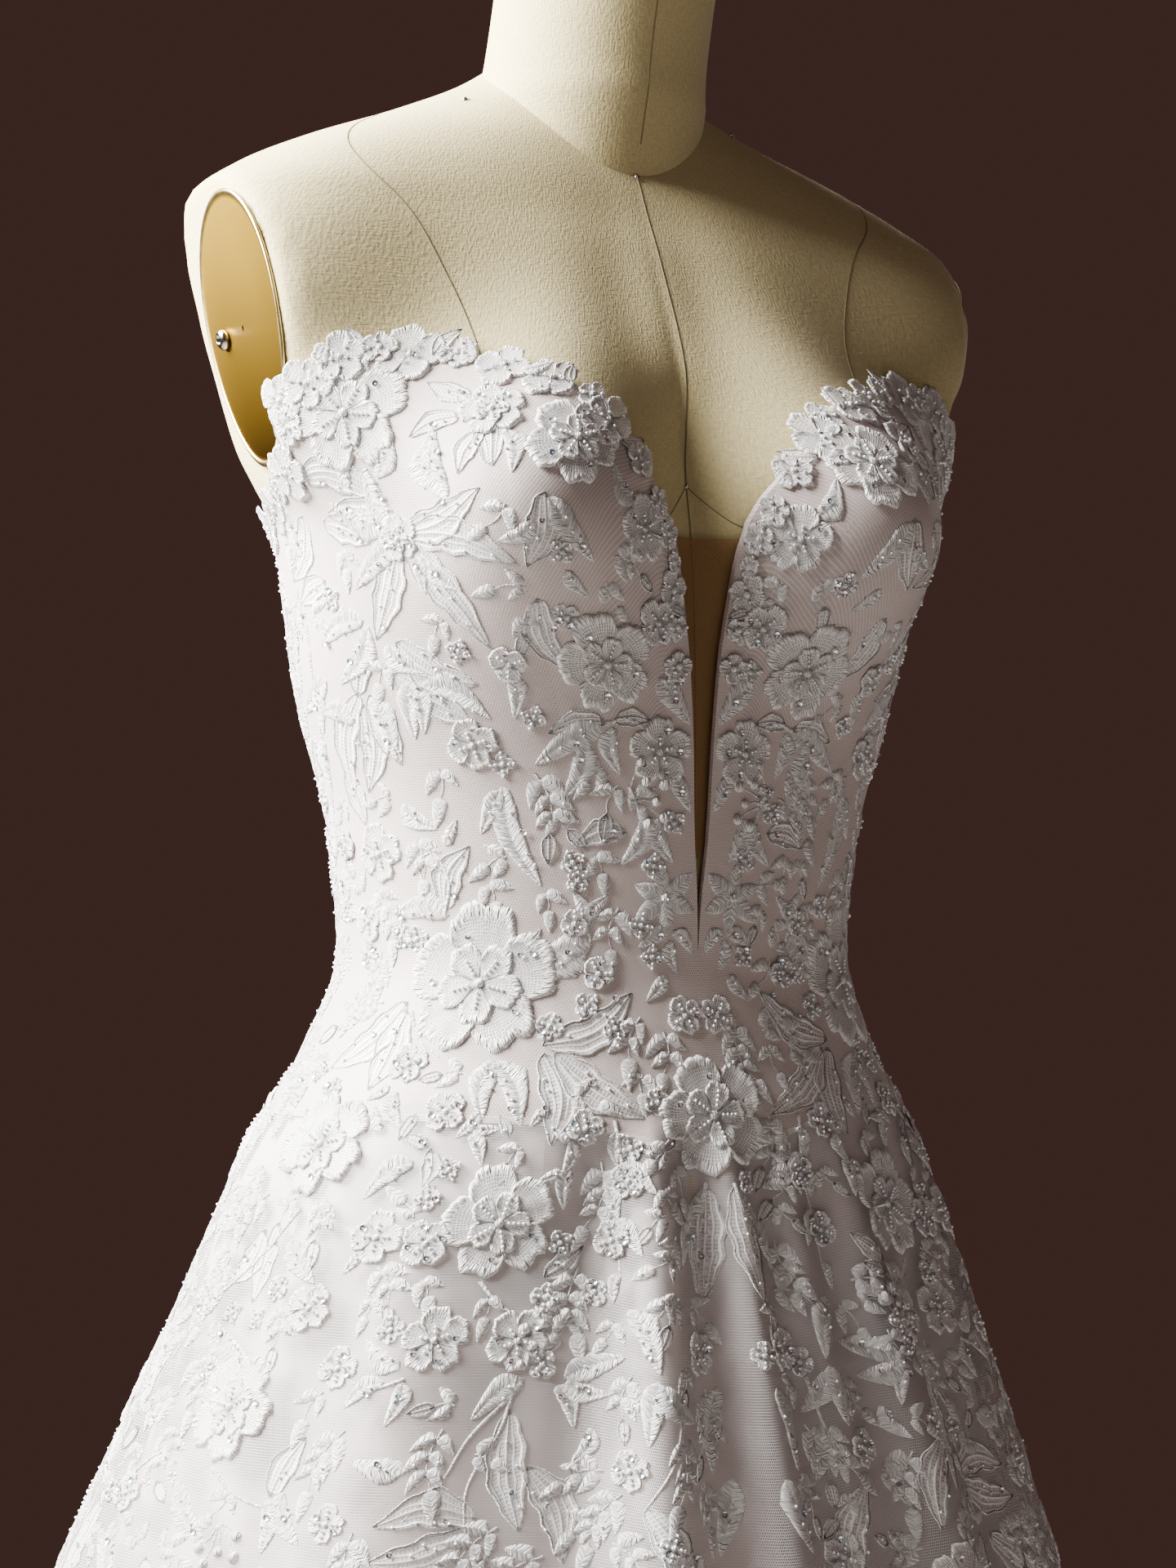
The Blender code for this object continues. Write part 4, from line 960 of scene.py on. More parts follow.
def leaf(hand, lace, stitching, base, tip, width, bend, lift, wave=0.0):
    """A pointed leaf from its base to its tip, each an (angle, height).

    A net leaf has a raised cord round it, a vein and open stitches. A satin leaf is full, and
    its slanted stitches stand in ridges. A small one is a satin leaf with fewer points."""
    across, up = hand.span(base, tip)
    length = math.hypot(across, up)
    along, beside = np.array([across, up]) / length, np.array([up, -across]) / length
    rows = int(np.clip(length / LEAF_STEP, 7, 30))
    share = np.linspace(0, 1, rows)
    ridge = (-1.0) ** np.arange(rows) * (0.6 + 0.4 * np.sin(5.3 * np.arange(rows) + 90 * width))
    half = width * np.sin(math.pi * share ** 0.85) ** 0.80 * (1 - 0.15 * share)
    lobes = 3.0 + 1.5 * math.floor(length / 0.014)
    half = half * (1 + wave * np.sin(lobes * math.pi * share + 30 * width)) + 0.0002
    half = half + SERRATION * 0.6 * ridge * np.sin(math.pi * share)
    if stitching == NET:
        cord = np.minimum(LACE_CORD, 0.42 * half)
        inner = half - cord
        columns = [(half, 0.0), (half - 0.12 * cord, 0.62), (half - 0.5 * cord, 1.0),
                   (inner, 0.35), (0.55 * inner, 0.16), (0.12 * inner, 0.30)]
        vein, rise, slant, ridges = 0.85, CORD_RISE, 0.0, 0.10
    else:
        columns, vein, ridges = FULL_LEAF[stitching]
        columns = [(reach * half, level) for reach, level in columns]
        rise, slant = SATIN_RISE, 0.75
    sides = [(-reach, level) for reach, level in columns] + [(0 * half, vein)]
    sides += [(reach, level) for reach, level in reversed(columns)]
    taper = np.sin(math.pi * np.clip(share, 0.02, 0.98)) ** 0.35
    offset = np.stack([reach for reach, _ in sides], 1)
    levels = np.stack([np.full(rows, level) for _, level in sides], 1)
    middle = bend * length * np.sin(math.pi * share) ** 1.3
    s = offset + middle[:, None]
    t = (share * length)[:, None] - slant * np.abs(offset) * np.sin(math.pi * share)[:, None]
    x, y = t * along[0] + s * beside[0], t * along[1] + s * beside[1]
    z = rise * levels * taper[:, None] * (1 + ridges * ridge[:, None])
    z = np.where(levels == 0, 0.0, z) + lift
    if stitching == NET:
        threads = np.stack([offset / half[:, None], t + 0 * offset], -1)
        on_cord = np.stack([t + 0.3 * np.abs(offset), np.abs(offset)], -1)
        threads[:, :3], threads[:, -3:] = on_cord[:, :3], on_cord[:, -3:]
        open_now = np.zeros((rows - 1, len(sides) - 1), int)
        open_now[1:-1, 3:-3] = OPEN_LEAF
        choice = open_now.ravel()
    else:
        threads = np.stack([(share * length)[:, None] + 0 * offset, np.abs(offset)], -1)
        choice = 0
    hand.stitch(lace, base, x, y, z, threads, choice)
    return along, beside, length


def petal(hand, lace, place, centre, turn, radius, half_turn, rise, lift, tilt, phase):
    """A rounded petal that spreads from a flower's centre, stitched from its rim inwards.

    Its rim is uneven where threads end, and its stitches stand in ridges."""
    columns = int(np.clip(2 * half_turn * radius / PETAL_STEP, 6, 33))
    s = np.concatenate([[-1.03], np.linspace(-1, 1, columns), [1.03]])
    count = np.arange(len(s))
    ridge = (-1.0) ** count * (0.55 + 0.45 * np.sin(7.1 * count + 3 * phase))
    share, level = PETAL_SHARE[:, None], PETAL_LEVEL[:, None]
    rim = radius * (1 - 0.36 * np.abs(s) ** 2.6 - 0.05 * np.exp(-(s / 0.17) ** 2)
                    + 0.030 * np.sin(8.5 * s + phase) + 0.015 * np.sin(19 * s + 2 * phase))
    rim = rim + SERRATION * min(1.0, radius / 0.014) * ridge
    reach = share * rim
    angle = turn + half_turn * s * (1 - 0.12 * (1 - share))
    across = centre[0] + reach * np.sin(angle)
    up = centre[1] + reach * np.cos(angle)
    ripple = 0.09 * np.sin(9 * s + 2 * phase) + 0.11 * ridge
    z = rise * level * (1 + ripple * np.minimum(1.6 * share, 1)) + tilt * s * share * level
    z[:, [0, -1]] = np.minimum(z[:, [0, -1]], 0.15 * rise)
    z[-1] = 0.0
    threads = np.stack([angle * 0.75 * radius, reach], -1)
    inside = np.zeros((len(share) - 1, len(s) - 1), int)
    if radius > OPEN_FROM:
        inside[1:4, 3:-3] = OPEN_PETAL
    hand.stitch(lace, place, across, up, z + lift, threads, inside.ravel())


def petal_ring(hand, lace, place, centre, turn, sizes, half, rise, lift, tilt, phases):
    """Petals of these sizes round a centre. half is each one's half turn as a share of a step."""
    step = 2 * math.pi / len(sizes)
    for k, (size, phase) in enumerate(zip(sizes, phases)):
        petal(hand, lace, place, centre, turn + k * step, size, half * step, rise, lift, tilt,
              phase)


def flower(hand, lace, place, radius, turn, petals, double, lift, sparkle):
    """A flower of overlapping petals with a knot and beads in its middle.

    sparkle is how often a sequin lies between two of its petals."""
    turn = math.radians(turn)
    step = 2 * math.pi / petals
    rise = min(0.0012, 0.00045 + 0.034 * radius)
    k = np.arange(petals)
    petal_ring(hand, lace, place, (0, 0), turn, radius * (1 + 0.05 * np.sin(
        5 * k + 40 * radius + turn)), 0.54, rise, lift, 0.00028, 1.7 * k + turn)
    if double:
        petal_ring(hand, lace, place, (0, 0), turn + 0.5 * step,
                   0.56 * radius * (1 + 0.06 * np.sin(3 * k + turn)), 0.50, 0.7 * rise,
                   lift + 0.55 * rise, 0.0002, 2.3 * k + turn)
    level = lift + rise * (1.0 if double else 0.5)
    knot(hand, lace, place, (0, 0), 0.0011 + 0.035 * radius, level - 0.0002)
    for k in range(petals):
        at = turn + (k + (0.5 if double else 0)) * step
        for j in range(2 + (radius > 0.018) + (radius > 0.024)):
            hand.bead(place, *toward(0.0026 + 0.0021 * j + 0.06 * radius, at),
                      level + 0.0006 - 0.0001 * j, BEAD_BLOOM)
        if hand.random.random() < 0.55 * sparkle:
            hand.sequin(place, *toward(0.62 * radius, at + 0.5 * step + 0.3),
                        lift + rise * 1.05, SEQUIN_BLOOM)


def knot(hand, lace, place, centre, radius, lift):
    """A small stitched dome."""
    across, up = round_grid(radius, KNOT_SHARE, 11)
    across, up = centre[0] + across, centre[1] + up
    z = lift + 0.8 * radius * np.sqrt(1 - KNOT_SHARE ** 2)[:, None] + 0 * up
    hand.stitch(lace, place, across, up, z, np.stack([across, up * 0.6], -1))


def cord(hand, lace, points):
    """A raised stem through (angle, height) points."""
    flat = np.array([(0.0, 0.0)] + [hand.span(points[0], point) for point in points[1:]])
    flat_cord(hand, lace, points[0], flat, STEM_WIDTH, STEM_RISE)


def flat_cord(hand, lace, place, flat, width, rise):
    """A raised stem through points given in metres across and up from a place."""
    along = running(steps_along(flat))
    count = max(int(along[-1] / STEM_STEP), 5)
    where = np.linspace(0, along[-1], count)
    path = np.stack([smooth_through(along, flat[:, k], where) for k in (0, 1)], -1)
    tangent = unit(np.gradient(path, axis=0))
    beside = np.stack([tangent[:, 1], -tangent[:, 0]], -1)
    thin = (1 - STEM_TAPER * where / where[-1])[:, None]
    offset = CORD_SHARE * width * thin
    threads = np.stack([where[:, None] + 0.5 * offset, offset], -1)
    hand.stitch(lace, place, path[:, :1] + offset * beside[:, :1],
                path[:, 1:] + offset * beside[:, 1:], rise * thin * CORD_LEVEL, threads)


def star(hand, lace, place, radius):
    """Six pointed satin leaves round a knot."""
    share = np.linspace(0, 1, 10)[:, None]
    taper = np.sin(math.pi * np.clip(share, 0.05, 0.95)) ** 0.4
    for k in range(STAR.petals):
        turn = math.radians(8 + 360 / STAR.petals * k)
        reach = radius * (1 + 0.08 * math.sin(4 * k))
        wide = 0.24 * reach * np.sin(math.pi * share ** 0.8) ** 0.8 + 0.0002
        t = share * (reach - 0.0012) + 0.0012
        s = wide * STAR_SHARE
        across = t * math.sin(turn) + s * math.cos(turn)
        up = t * math.cos(turn) - s * math.sin(turn)
        threads = np.stack([t - 0.9 * np.abs(s), np.abs(s)], -1)
        hand.stitch(lace, place, across, up, SATIN_RISE * STAR_LEVEL * taper, threads)
    knot(hand, lace, place, (0, 0), 0.0018, 0.0004)
    for k in range(3):
        hand.bead(place, *toward(0.0012, 2.1 * k), 0.0016, BEAD_STEM)


def berries(hand, lace, sprig):
    """Round berries on short stalks that fan from one stem."""
    place, lean = (sprig.angle, sprig.height / 1000), math.radians(sprig.turn)
    for k in range(sprig.berries):
        turn = lean + (k - (sprig.berries - 1) / 2) * 0.42
        reach = 0.0125 + 0.0045 * (k % 2) + 0.0012 * math.sin(3 * k)
        end = toward(reach, turn)
        bow = (0.5 * end[0] + 0.0012 * math.cos(turn), 0.5 * end[1] - 0.0012 * math.sin(turn))
        flat_cord(hand, lace, place, np.array([(0, 0), bow, end]), 0.0006, 0.0005)
        knot(hand, lace, place, end, 0.0026 - 0.0003 * (k % 3), 0.0002)


# ---------------------------------------------------------------- the form
LINEN_SOFT, LINEN_BELOW, NECK_ROUND = 0.0014, 0.03, 0.0014
# Shares of the last ring's size at which the rings lie that close an end.
TORSO_FOOT, TORSO_TOP, NECK_END = (0.02, 0.5, 0.985), (0.6, 0.02), (0.5, 0.02)
FORM_SEAM_WIDTH, STITCH_WIDTH, FORM_SEAM_RISE, FORM_SEAM_STEPS = 0.00045, 0.0003, 0.00022, 24
FORM_SEAM_SHAPE = np.array([[-1.0, -0.6, 0.6, 1.0], [-0.4, 1.0, 1.0, -0.4]])
PIN_RADIUS, PIN_LIFT = 0.0013, 0.0003
PINS = ((1, (0.0, 0.2013)), (1, (1.0, 0.3460)), (1, (64.5, 0.3795)), (-1, (64.5, 0.3795)))
PRINCESS = ((81.5, 0.3720), (78.5, 0.3645), (66.0, 0.3250), (58.8, 0.2870), (51.0, 0.2490))
FRONT_LINE = ((1.0, 0.3540), (3.0, 0.3150), (3.0, 0.2670), (1.5, 0.2270), (0.0, 0.2013),
              (0.0, 0.1400), (0.0, 0.0400))
STITCH_LINE = ((0.0, 0.2013), (5.0, 0.1930), (10.0, 0.1850), (15.0, 0.1800))
NECK_LINE = ((1.0, 0.3600), (1.0, 0.4100), (1.0, 0.4720))
# Shares of the radius and of the thickness, from the back to the middle of the front, and
# which of the plate's bands take the paler gold of its rim, a painted highlight.
PLATE_PROFILE = ((0.30, 0.0), (0.99, 0.0), (1.0, 0.25), (1.0, 0.75), (0.985, 1.0), (0.965, 1.0),
                 (0.955, 0.72), (0.93, 0.66), (0.5, 0.72), (0.02, 0.74))
PLATE_RIM_HIGHLIGHT = (0, 1, 1, 1, 1, 1, 0, 0, 0)
BOLT_PROFILE = ((0.3, 0.0), (1.0, 0.0), (1.0, 0.35), (0.92, 0.60), (0.72, 0.90), (0.50, 1.0),
                (0.44, 0.96), (0.40, 0.40), (0.02, 0.40))


def neck_radius(angle, height):
    """(radius, centre) of the neck, which widens at its foot and leans forward."""
    flare = NECK_FLARE * np.exp(-np.maximum(height - NECK_FLARE_FROM, 0) / NECK_FLARE_HEIGHT)
    return NECK_RADIUS + flare + 0 * angle, NECK_Y + NECK_LEAN * (height - NECK_ROOT) + 0 * angle


def shrunk(ring, share):
    """A ring of points drawn in towards its middle."""
    middle = ring.mean(0)
    return middle + (ring - middle) * share


def make_form():
    linen, line = linen_cloth("linen", 1.0), linen_cloth("linen seam", 0.42)
    heights = np.concatenate([np.linspace(*rows) for rows in (
        (FORM[0].height, 0.16, 24), (0.165, 0.33, 48), (0.334, FORM[-1].height, 32))])
    angle, height = np.meshgrid(np.linspace(-180, 180, 217), heights)
    skin = surface_point(linen_radius, angle, height)
    closed = [shrunk(skin[0], share) for share in TORSO_FOOT]
    closed += list(skin) + [shrunk(skin[-1], share) for share in TORSO_TOP]
    piece(one_skin("linen_torso", np.array(closed), linen), "linen", "form_torso")

    angle = np.linspace(-180, 180, 145)
    rings = [surface_point(neck_radius, angle, height)
             for height in np.linspace(NECK_SEAT, NECK_TOP - NECK_ROUND, 34)]
    rings += [shrunk(surface_point(neck_radius, angle, NECK_TOP - NECK_ROUND * (1 - math.sin(t))),
                     1 - NECK_ROUND * (1 - math.cos(t)) / NECK_RADIUS)
              for t in (math.pi / 6, math.pi / 3, math.pi / 2)]
    rings += [shrunk(rings[-1], share) for share in NECK_END]
    piece(one_skin("linen_neck", np.array(rings), linen), "linen", "form_neck")

    body = Skin(linen_radius, *SEAM_HEIGHTS)
    seams = Lace("form_seams")
    for side in (1, -1):
        form_line(body, side, seams, PRINCESS)
        form_line(body, side, seams, STITCH_LINE, STITCH_WIDTH)
    form_line(body, 1, seams, FRONT_LINE)
    form_line(Skin(neck_radius, NECK_SEAT + 0.005, NECK_TOP), 1, seams, NECK_LINE)
    piece(seams.make([line]), "linen")

    pins = Lace("form_pins")
    for side, place in PINS:
        knot(Hand(body, side), pins, place, (0, 0), PIN_RADIUS, PIN_LIFT)
    piece(pins.make([brushed("pin steel", (0.55, 0.50, 0.46), 0.25)]), "chrome")

    gold = plate_gold()
    # The paler gold of the plates' rims is a painted highlight along their edges.
    rim = brushed("bright rim", (0.80, 0.66, 0.34), 0.30, 0.03)
    chrome = brushed("chrome", (0.50, 0.47, 0.44), 0.20, 0.04)
    for side, word in reversed(SIDES):
        make_plate(side, word, gold, rim, chrome)
    steel = brushed("painted steel", (0.05, 0.045, 0.042), 0.45, 0.05, 0.4)
    for name in ("stand_pole", "stand_base"):
        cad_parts[name].data.materials.clear()
        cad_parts[name].data.materials.append(steel)


def form_line(skin, side, seams, points, width=FORM_SEAM_WIDTH):
    """A stitched line on the form through (angle, height) points."""
    points = np.array(points)
    along = np.arange(len(points), dtype=float)
    where = np.linspace(0, along[-1], FORM_SEAM_STEPS * len(points))
    angle, height = (smooth_through(along, points[:, k], where) for k in (0, 1))
    angle = side * angle
    spots = skin.at(angle, height, 0 * angle)
    normals = skin.at(angle, height, 1 + 0 * angle) - spots
    beside = unit(np.cross(np.gradient(spots, axis=0), normals))
    share, rise = FORM_SEAM_SHAPE[:, None, :, None]
    grid = spots[:, None] + width * share * beside[:, None]
    grid = grid + FORM_SEAM_RISE * rise * normals[:, None]
    seams.add(grid, grid_quads(*grid.shape[:2]), grid[..., :2], 0)


def make_plate(side, word, gold, rim, chrome):
    """The plate over an armhole, with a painted highlight of paler gold round its rim, and its
    hollow-headed bolt.
    """
    def turned(name, spot, half, egg, seat, thick, profile, sides, finishes, choice=None):
        turn, rings = np.linspace(0, 2 * math.pi, sides), []
        for share, out in profile:
            y = spot[0] + share * half[0] * np.sin(turn) * (1 + egg * np.cos(turn))
            height = spot[1] + share * half[1] * np.cos(turn)
            x = arm_plane(height) + (seat + out * thick) * math.hypot(1, PLATE_LEAN)
            rings.append(np.stack([AXIS_X + side * x, AXIS_Y + y, WAIST + height], -1))
        faces = grid_quads(len(rings), sides)
        if choice is not None:
            choice = np.repeat(choice, sides - 1)
        return add_mesh(f"{name}_{word}", rings, faces if side < 0 else faces[:, ::-1], finishes,
                        choice=choice)

    plate = turned("gold_plate", (PLATE_Y, PLATE_HEIGHT), (PLATE_HALF_WIDTH, PLATE_HALF_HEIGHT),
                   PLATE_EGG, SEAM, PLATE_THICK, PLATE_PROFILE, 97, [gold, rim], PLATE_RIM_HIGHLIGHT)
    piece(plate, "gold", f"armplate_{word}")
    bolt = turned("plate_bolt", (BOLT_Y, BOLT_HEIGHT), (BOLT_RADIUS, BOLT_RADIUS), 0.0,
                  SEAM + PLATE_THICK + SEAM, BOLT_THICK, BOLT_PROFILE, 37, [chrome])
    piece(bolt, "chrome", f"armplate_bolt_{word}")


# ---------------------------------------------------------------- the dress
PANEL_ROWS, PANEL_COLUMNS = 58, 31
TULLE_ROWS, TULLE_COLUMNS = 100, 52
LINING_ROWS, LINING_COLUMNS = 60, 36
GORES = (("front", -36, 36), ("side_left", 36, 108), ("back_left", 108, 180),
         ("back_right", 180, 252), ("side_right", 252, 324))
LINING_CROWDING, TULLE_CROWDING = 1.2, 1.25      # rows lie closer together near the waist
LINING_WALL = 0.0007
WAIST_LAP = 0.0030
# A button from its foot to its top: shares of its radius and of its height.
DOME_SHARE, DOME_LEVEL = np.array([[0.70, 0.93, 1.0, 0.97, 0.84, 0.62, 0.34, 0.03],
                                   [0.0, 0.10, 0.30, 0.48, 0.72, 0.88, 0.97, 1.0]])


def parted(angle, height, across):
    """Angles whose first and last columns stand back from the seam with the next panel."""
    gap = np.degrees(PANEL_SEAM / 2 / dress_radius(angle, height)[0])
    return angle + gap * (1.0 * (across == 0) - (across == 1))


def make_bodice(satin):
    seams = (("centre_front", PLUNGE, FRONT_SEAM), ("side_front", FRONT_SEAM, SIDE_SEAM),
             ("side_back", SIDE_SEAM, BACK_SEAM), ("back", BACK_SEAM, CENTRE_BACK))
    made = {}
    for name, first, last in seams:
        across, up = np.meshgrid(np.linspace(0, 1, PANEL_COLUMNS), np.linspace(0, 1, PANEL_ROWS))
        height = WAIST_SEAM + up * (NECKLINE[-1].height - WAIST_SEAM)
        for _ in range(25):      # the seams lean, so heights and angles settle together
            near, far = seam_angle(first, height), seam_angle(last, height)
            angle = near + (far - near) * across
            low, high = waist_seam(angle), neckline(angle)
            height = low + (high - low) * up
        angle = parted(angle, height, across)
        for side, word in SIDES:
            outer, inner = wall_points(dress_radius, side * angle, height, BODICE_WALL)
            if side < 0:
                outer, inner = outer[:, ::-1], inner[:, ::-1]
            panel = two_skins(f"satin_{name}_{word}", outer, inner, satin)
            piece(panel, "satin", f"bodice_{name}_{word}")
            made[f"{name}_{word}"] = (panel, *grid_size(outer))
    return made


def gore(surface, first, last, hem, columns, rows, crowding, above, wall=0.0):
    """Points of one gore between two angles, or its outer and inner points if it has a wall."""
    across, down = np.meshgrid(np.linspace(0, 1, columns), np.linspace(1, 0, rows) ** crowding)
    angle = first + (last - first) * across
    top = waist_seam(turn_from(angle, 0)) + above
    height = top + (hem - top) * down
    angle = turn_from(parted(angle, height, across), 0)
    if wall:
        return wall_points(surface, angle, height, wall)
    return surface_point(surface, angle, height)


def make_skirt(satin, tulle):
    made = {}
    for name, first, last in GORES:
        outer, inner = gore(lining_radius, first, last, HEM_LINING, LINING_COLUMNS, LINING_ROWS,
                            LINING_CROWDING, -SEAM, LINING_WALL)
        lining = two_skins(f"satin_lining_{name}", outer, inner, satin)
        piece(lining, "satin", f"skirt_lining_{name}")
        made[f"lining_{name}"] = (lining, *grid_size(outer))
        points = gore(overlay_radius, first, last, HEM_TULLE, TULLE_COLUMNS, TULLE_ROWS,
                      TULLE_CROWDING, WAIST_LAP)
        overlay = one_skin(f"tulle_{name}", points, tulle)
        piece(overlay, "tulle", f"skirt_tulle_{name}")
        made[f"tulle_{name}"] = (overlay, *grid_size(points))
    return made


def make_inset(net):
    across, up = np.meshgrid(np.linspace(-1, 1, 13), np.linspace(0, 1, 60))
    height = INSET_BOTTOM + (INSET_TOP - INSET_BOTTOM) * up
    radius, _ = form_radius(np.zeros_like(height), height)
    half = radius * np.radians(seam_angle(PLUNGE, height)) + INSET_TUCK
    angle = np.degrees(across * half / radius)
    points = surface_point(inset_radius, angle, height)
    made = piece(one_skin("net_inset", points, net), "net", "plunge_inset")
    return made, *grid_size(points)


def make_closure(skin, satin):
    """The placket over the centre back and its domed buttons, covered in satin."""
    hand = Hand(skin, 1)
    across, up = np.meshgrid(np.linspace(-1, 1, 9), np.linspace(0, 1, 90))
    height = PLACKET_LOW + (PLACKET_TOP - PLACKET_LOW) * up
    angle = 180 + np.degrees(across * PLACKET_HALF / dress_radius(180, height)[0])
    over = skin.at(angle, height, PLACKET_GAP + PLACKET_THICK + 0 * angle)
    under = skin.at(angle, height, PLACKET_GAP + 0 * angle)
    strip = two_skins("satin_placket", over, under, satin)
    piece(strip, "satin", "back_placket")
    buttons = Lace("covered_buttons")
    x, y = round_grid(BUTTON_RADIUS, DOME_SHARE, 25)
    z = PLACKET_GAP * 2 + PLACKET_THICK + BUTTON_HEIGHT * DOME_LEVEL[:, None] + 0 * x
    for k in range(BUTTONS):
        hand.stitch(buttons, (180, BUTTON_FIRST - k * BUTTON_PITCH), x, y, z,
                    np.stack([x, y], -1))
    made = add_mesh("covered_buttons", np.concatenate(buttons.points),
                    np.concatenate(buttons.faces), [satin],
                    {"cloth": np.concatenate(buttons.threads)})
    piece(made, "satin", *[f"back_button_{k + 1}" for k in range(BUTTONS)])
    return strip, *grid_size(over)


# ---------------------------------------------------------------- laying the lace
# A leaf's half width as a share of its length, and the widest that it gets.
LEAF_WIDTH = {NET: (0.25, 0.0085), SATIN: (0.235, 0.0060)}
BACK_FROM, BACK_TO = 101, 173                    # degrees, on the half of the back that is drawn
BACK_RADIUS, MOTIF_ROOM = 110, 6.0               # of the waist there, and of a leaf, millimetres
PLUNGE_ROOM, EDGE_ROOM = 7.0, 9                  # millimetres that the sprigs keep clear
BODICE_FOOT = -62                                # a motif that starts above this is the bodice's
WAIST_RUN = (4.0, 176, 5.5)                      # leaves along the waist seam: first, last, step
# The filling sprigs, in millimetres: spacing, lowest place, the band where they thin out, the
# room that each spot keeps clear; and the chance of one at the foot and how it grows.
FILL_STEP, FILL_FOOT, FILL_FADE, FILL_ROOM = 11.5, -300, 140, 1.3
FILL_LEAST, FILL_MORE = 0.06, 0.89
# The rows' share of the spacing, how far a spot strays from its row, how far the sprigs droop,
# the longest stem and how much it varies, the shorter ones, and the radii that a stem, a bud
# and a leaf take up.
FILL_ROWS, FILL_STRAY, FILL_DROOP = 0.86, 0.3, 7
FILL_LONGEST, FILL_VARIES, FILL_LENGTHS = 27, 5, (20.0, 14.0, 9.0)
STEM_TAKES, BUD_TAKES, LEAF_TAKES = 4.2, 5.0, 4.4
# The edge's lace starts at a height on the plunge and ends at an angle on the back. Motifs are
# smaller before an angle beside the plunge, and round an angle under the arm.
EDGE_FROM, EDGE_TO, EDGE_LOOK = 0.118, 174, 0.004
PLUNGE_SIDE, UNDER_ARM, ARM_SPREAD = 14, 86, 9
# The neckline's lace, again and again with uneven steps: what, radius or length in
# millimetres, turn from the edge in degrees, reach above the edge, and the step to the next.
EDGE_RUN = (
    ("bloom", 12.5, 10, -3.0, 13.5), ("leaf", 15.0, 35, 3.5, 8.0), ("bloom", 10.0, 50, -1.5, 10.5),
    ("leaf", 17.0, -30, 4.0, 9.5), ("bloom", 14.0, 25, -4.5, 14.0), ("bloom", 9.0, 0, -0.5, 9.0),
    ("leaf", 14.0, 20, 4.5, 8.5), ("bloom", 11.5, 70, -2.5, 12.0), ("leaf", 16.0, -45, 3.0, 8.5),
)


def leaf_width(entry, length):
    share, widest = LEAF_WIDTH[entry.stitch]
    return min(share * length, widest)


def draw_leaf(hand, lace, entry, number):
    base = (entry.base_angle, entry.base_height / 1000)
    tip = (entry.tip_angle, entry.tip_height / 1000)
    length = math.hypot(*hand.span(base, tip))
    bend = 0.15 * math.sin(2.4 * number + 0.6) * (1 if length > 0.014 else 0.5)
    wave = 0.09 if entry.stitch == NET else 0.06
    width = leaf_width(entry, length)
    along, beside, length = leaf(hand, lace, entry.stitch, base, tip, width, bend, 0.0, wave)
    lift = SATIN_RISE * (1.0 if entry.stitch == SATIN else 0.55) + 0.0003
    for k in range(1 + int(length > 0.016) + 2 * int(length > 0.028)):
        reach = length * (0.30 + 0.16 * k + 0.05 * math.sin(5 * k + number))
        spot = reach * along + 0.22 * width * math.sin(3 * k + number) * beside
        if (number + k) % 4 == 0:
            hand.sequin(base, *spot, lift, SEQUIN_LEAF)
        else:
            hand.bead(base, *spot, lift, BEAD_LEAF)


def draw_bloom(hand, lace, bloom, number, sparkle=1.0):
    flower(hand, lace, (bloom.angle, bloom.height / 1000), bloom.radius / 1000, bloom.turn,
           bloom.petals, bloom.double, 0.0003 * (number % 3), sparkle)


def on_back(angle, height):
    """The place on the back that mirrors one on the front, below the back's lower neckline."""
    mirrored = 180 - angle
    if height > 0:
        height = height * float(neckline(mirrored)) / float(neckline(angle))
    return mirrored, height


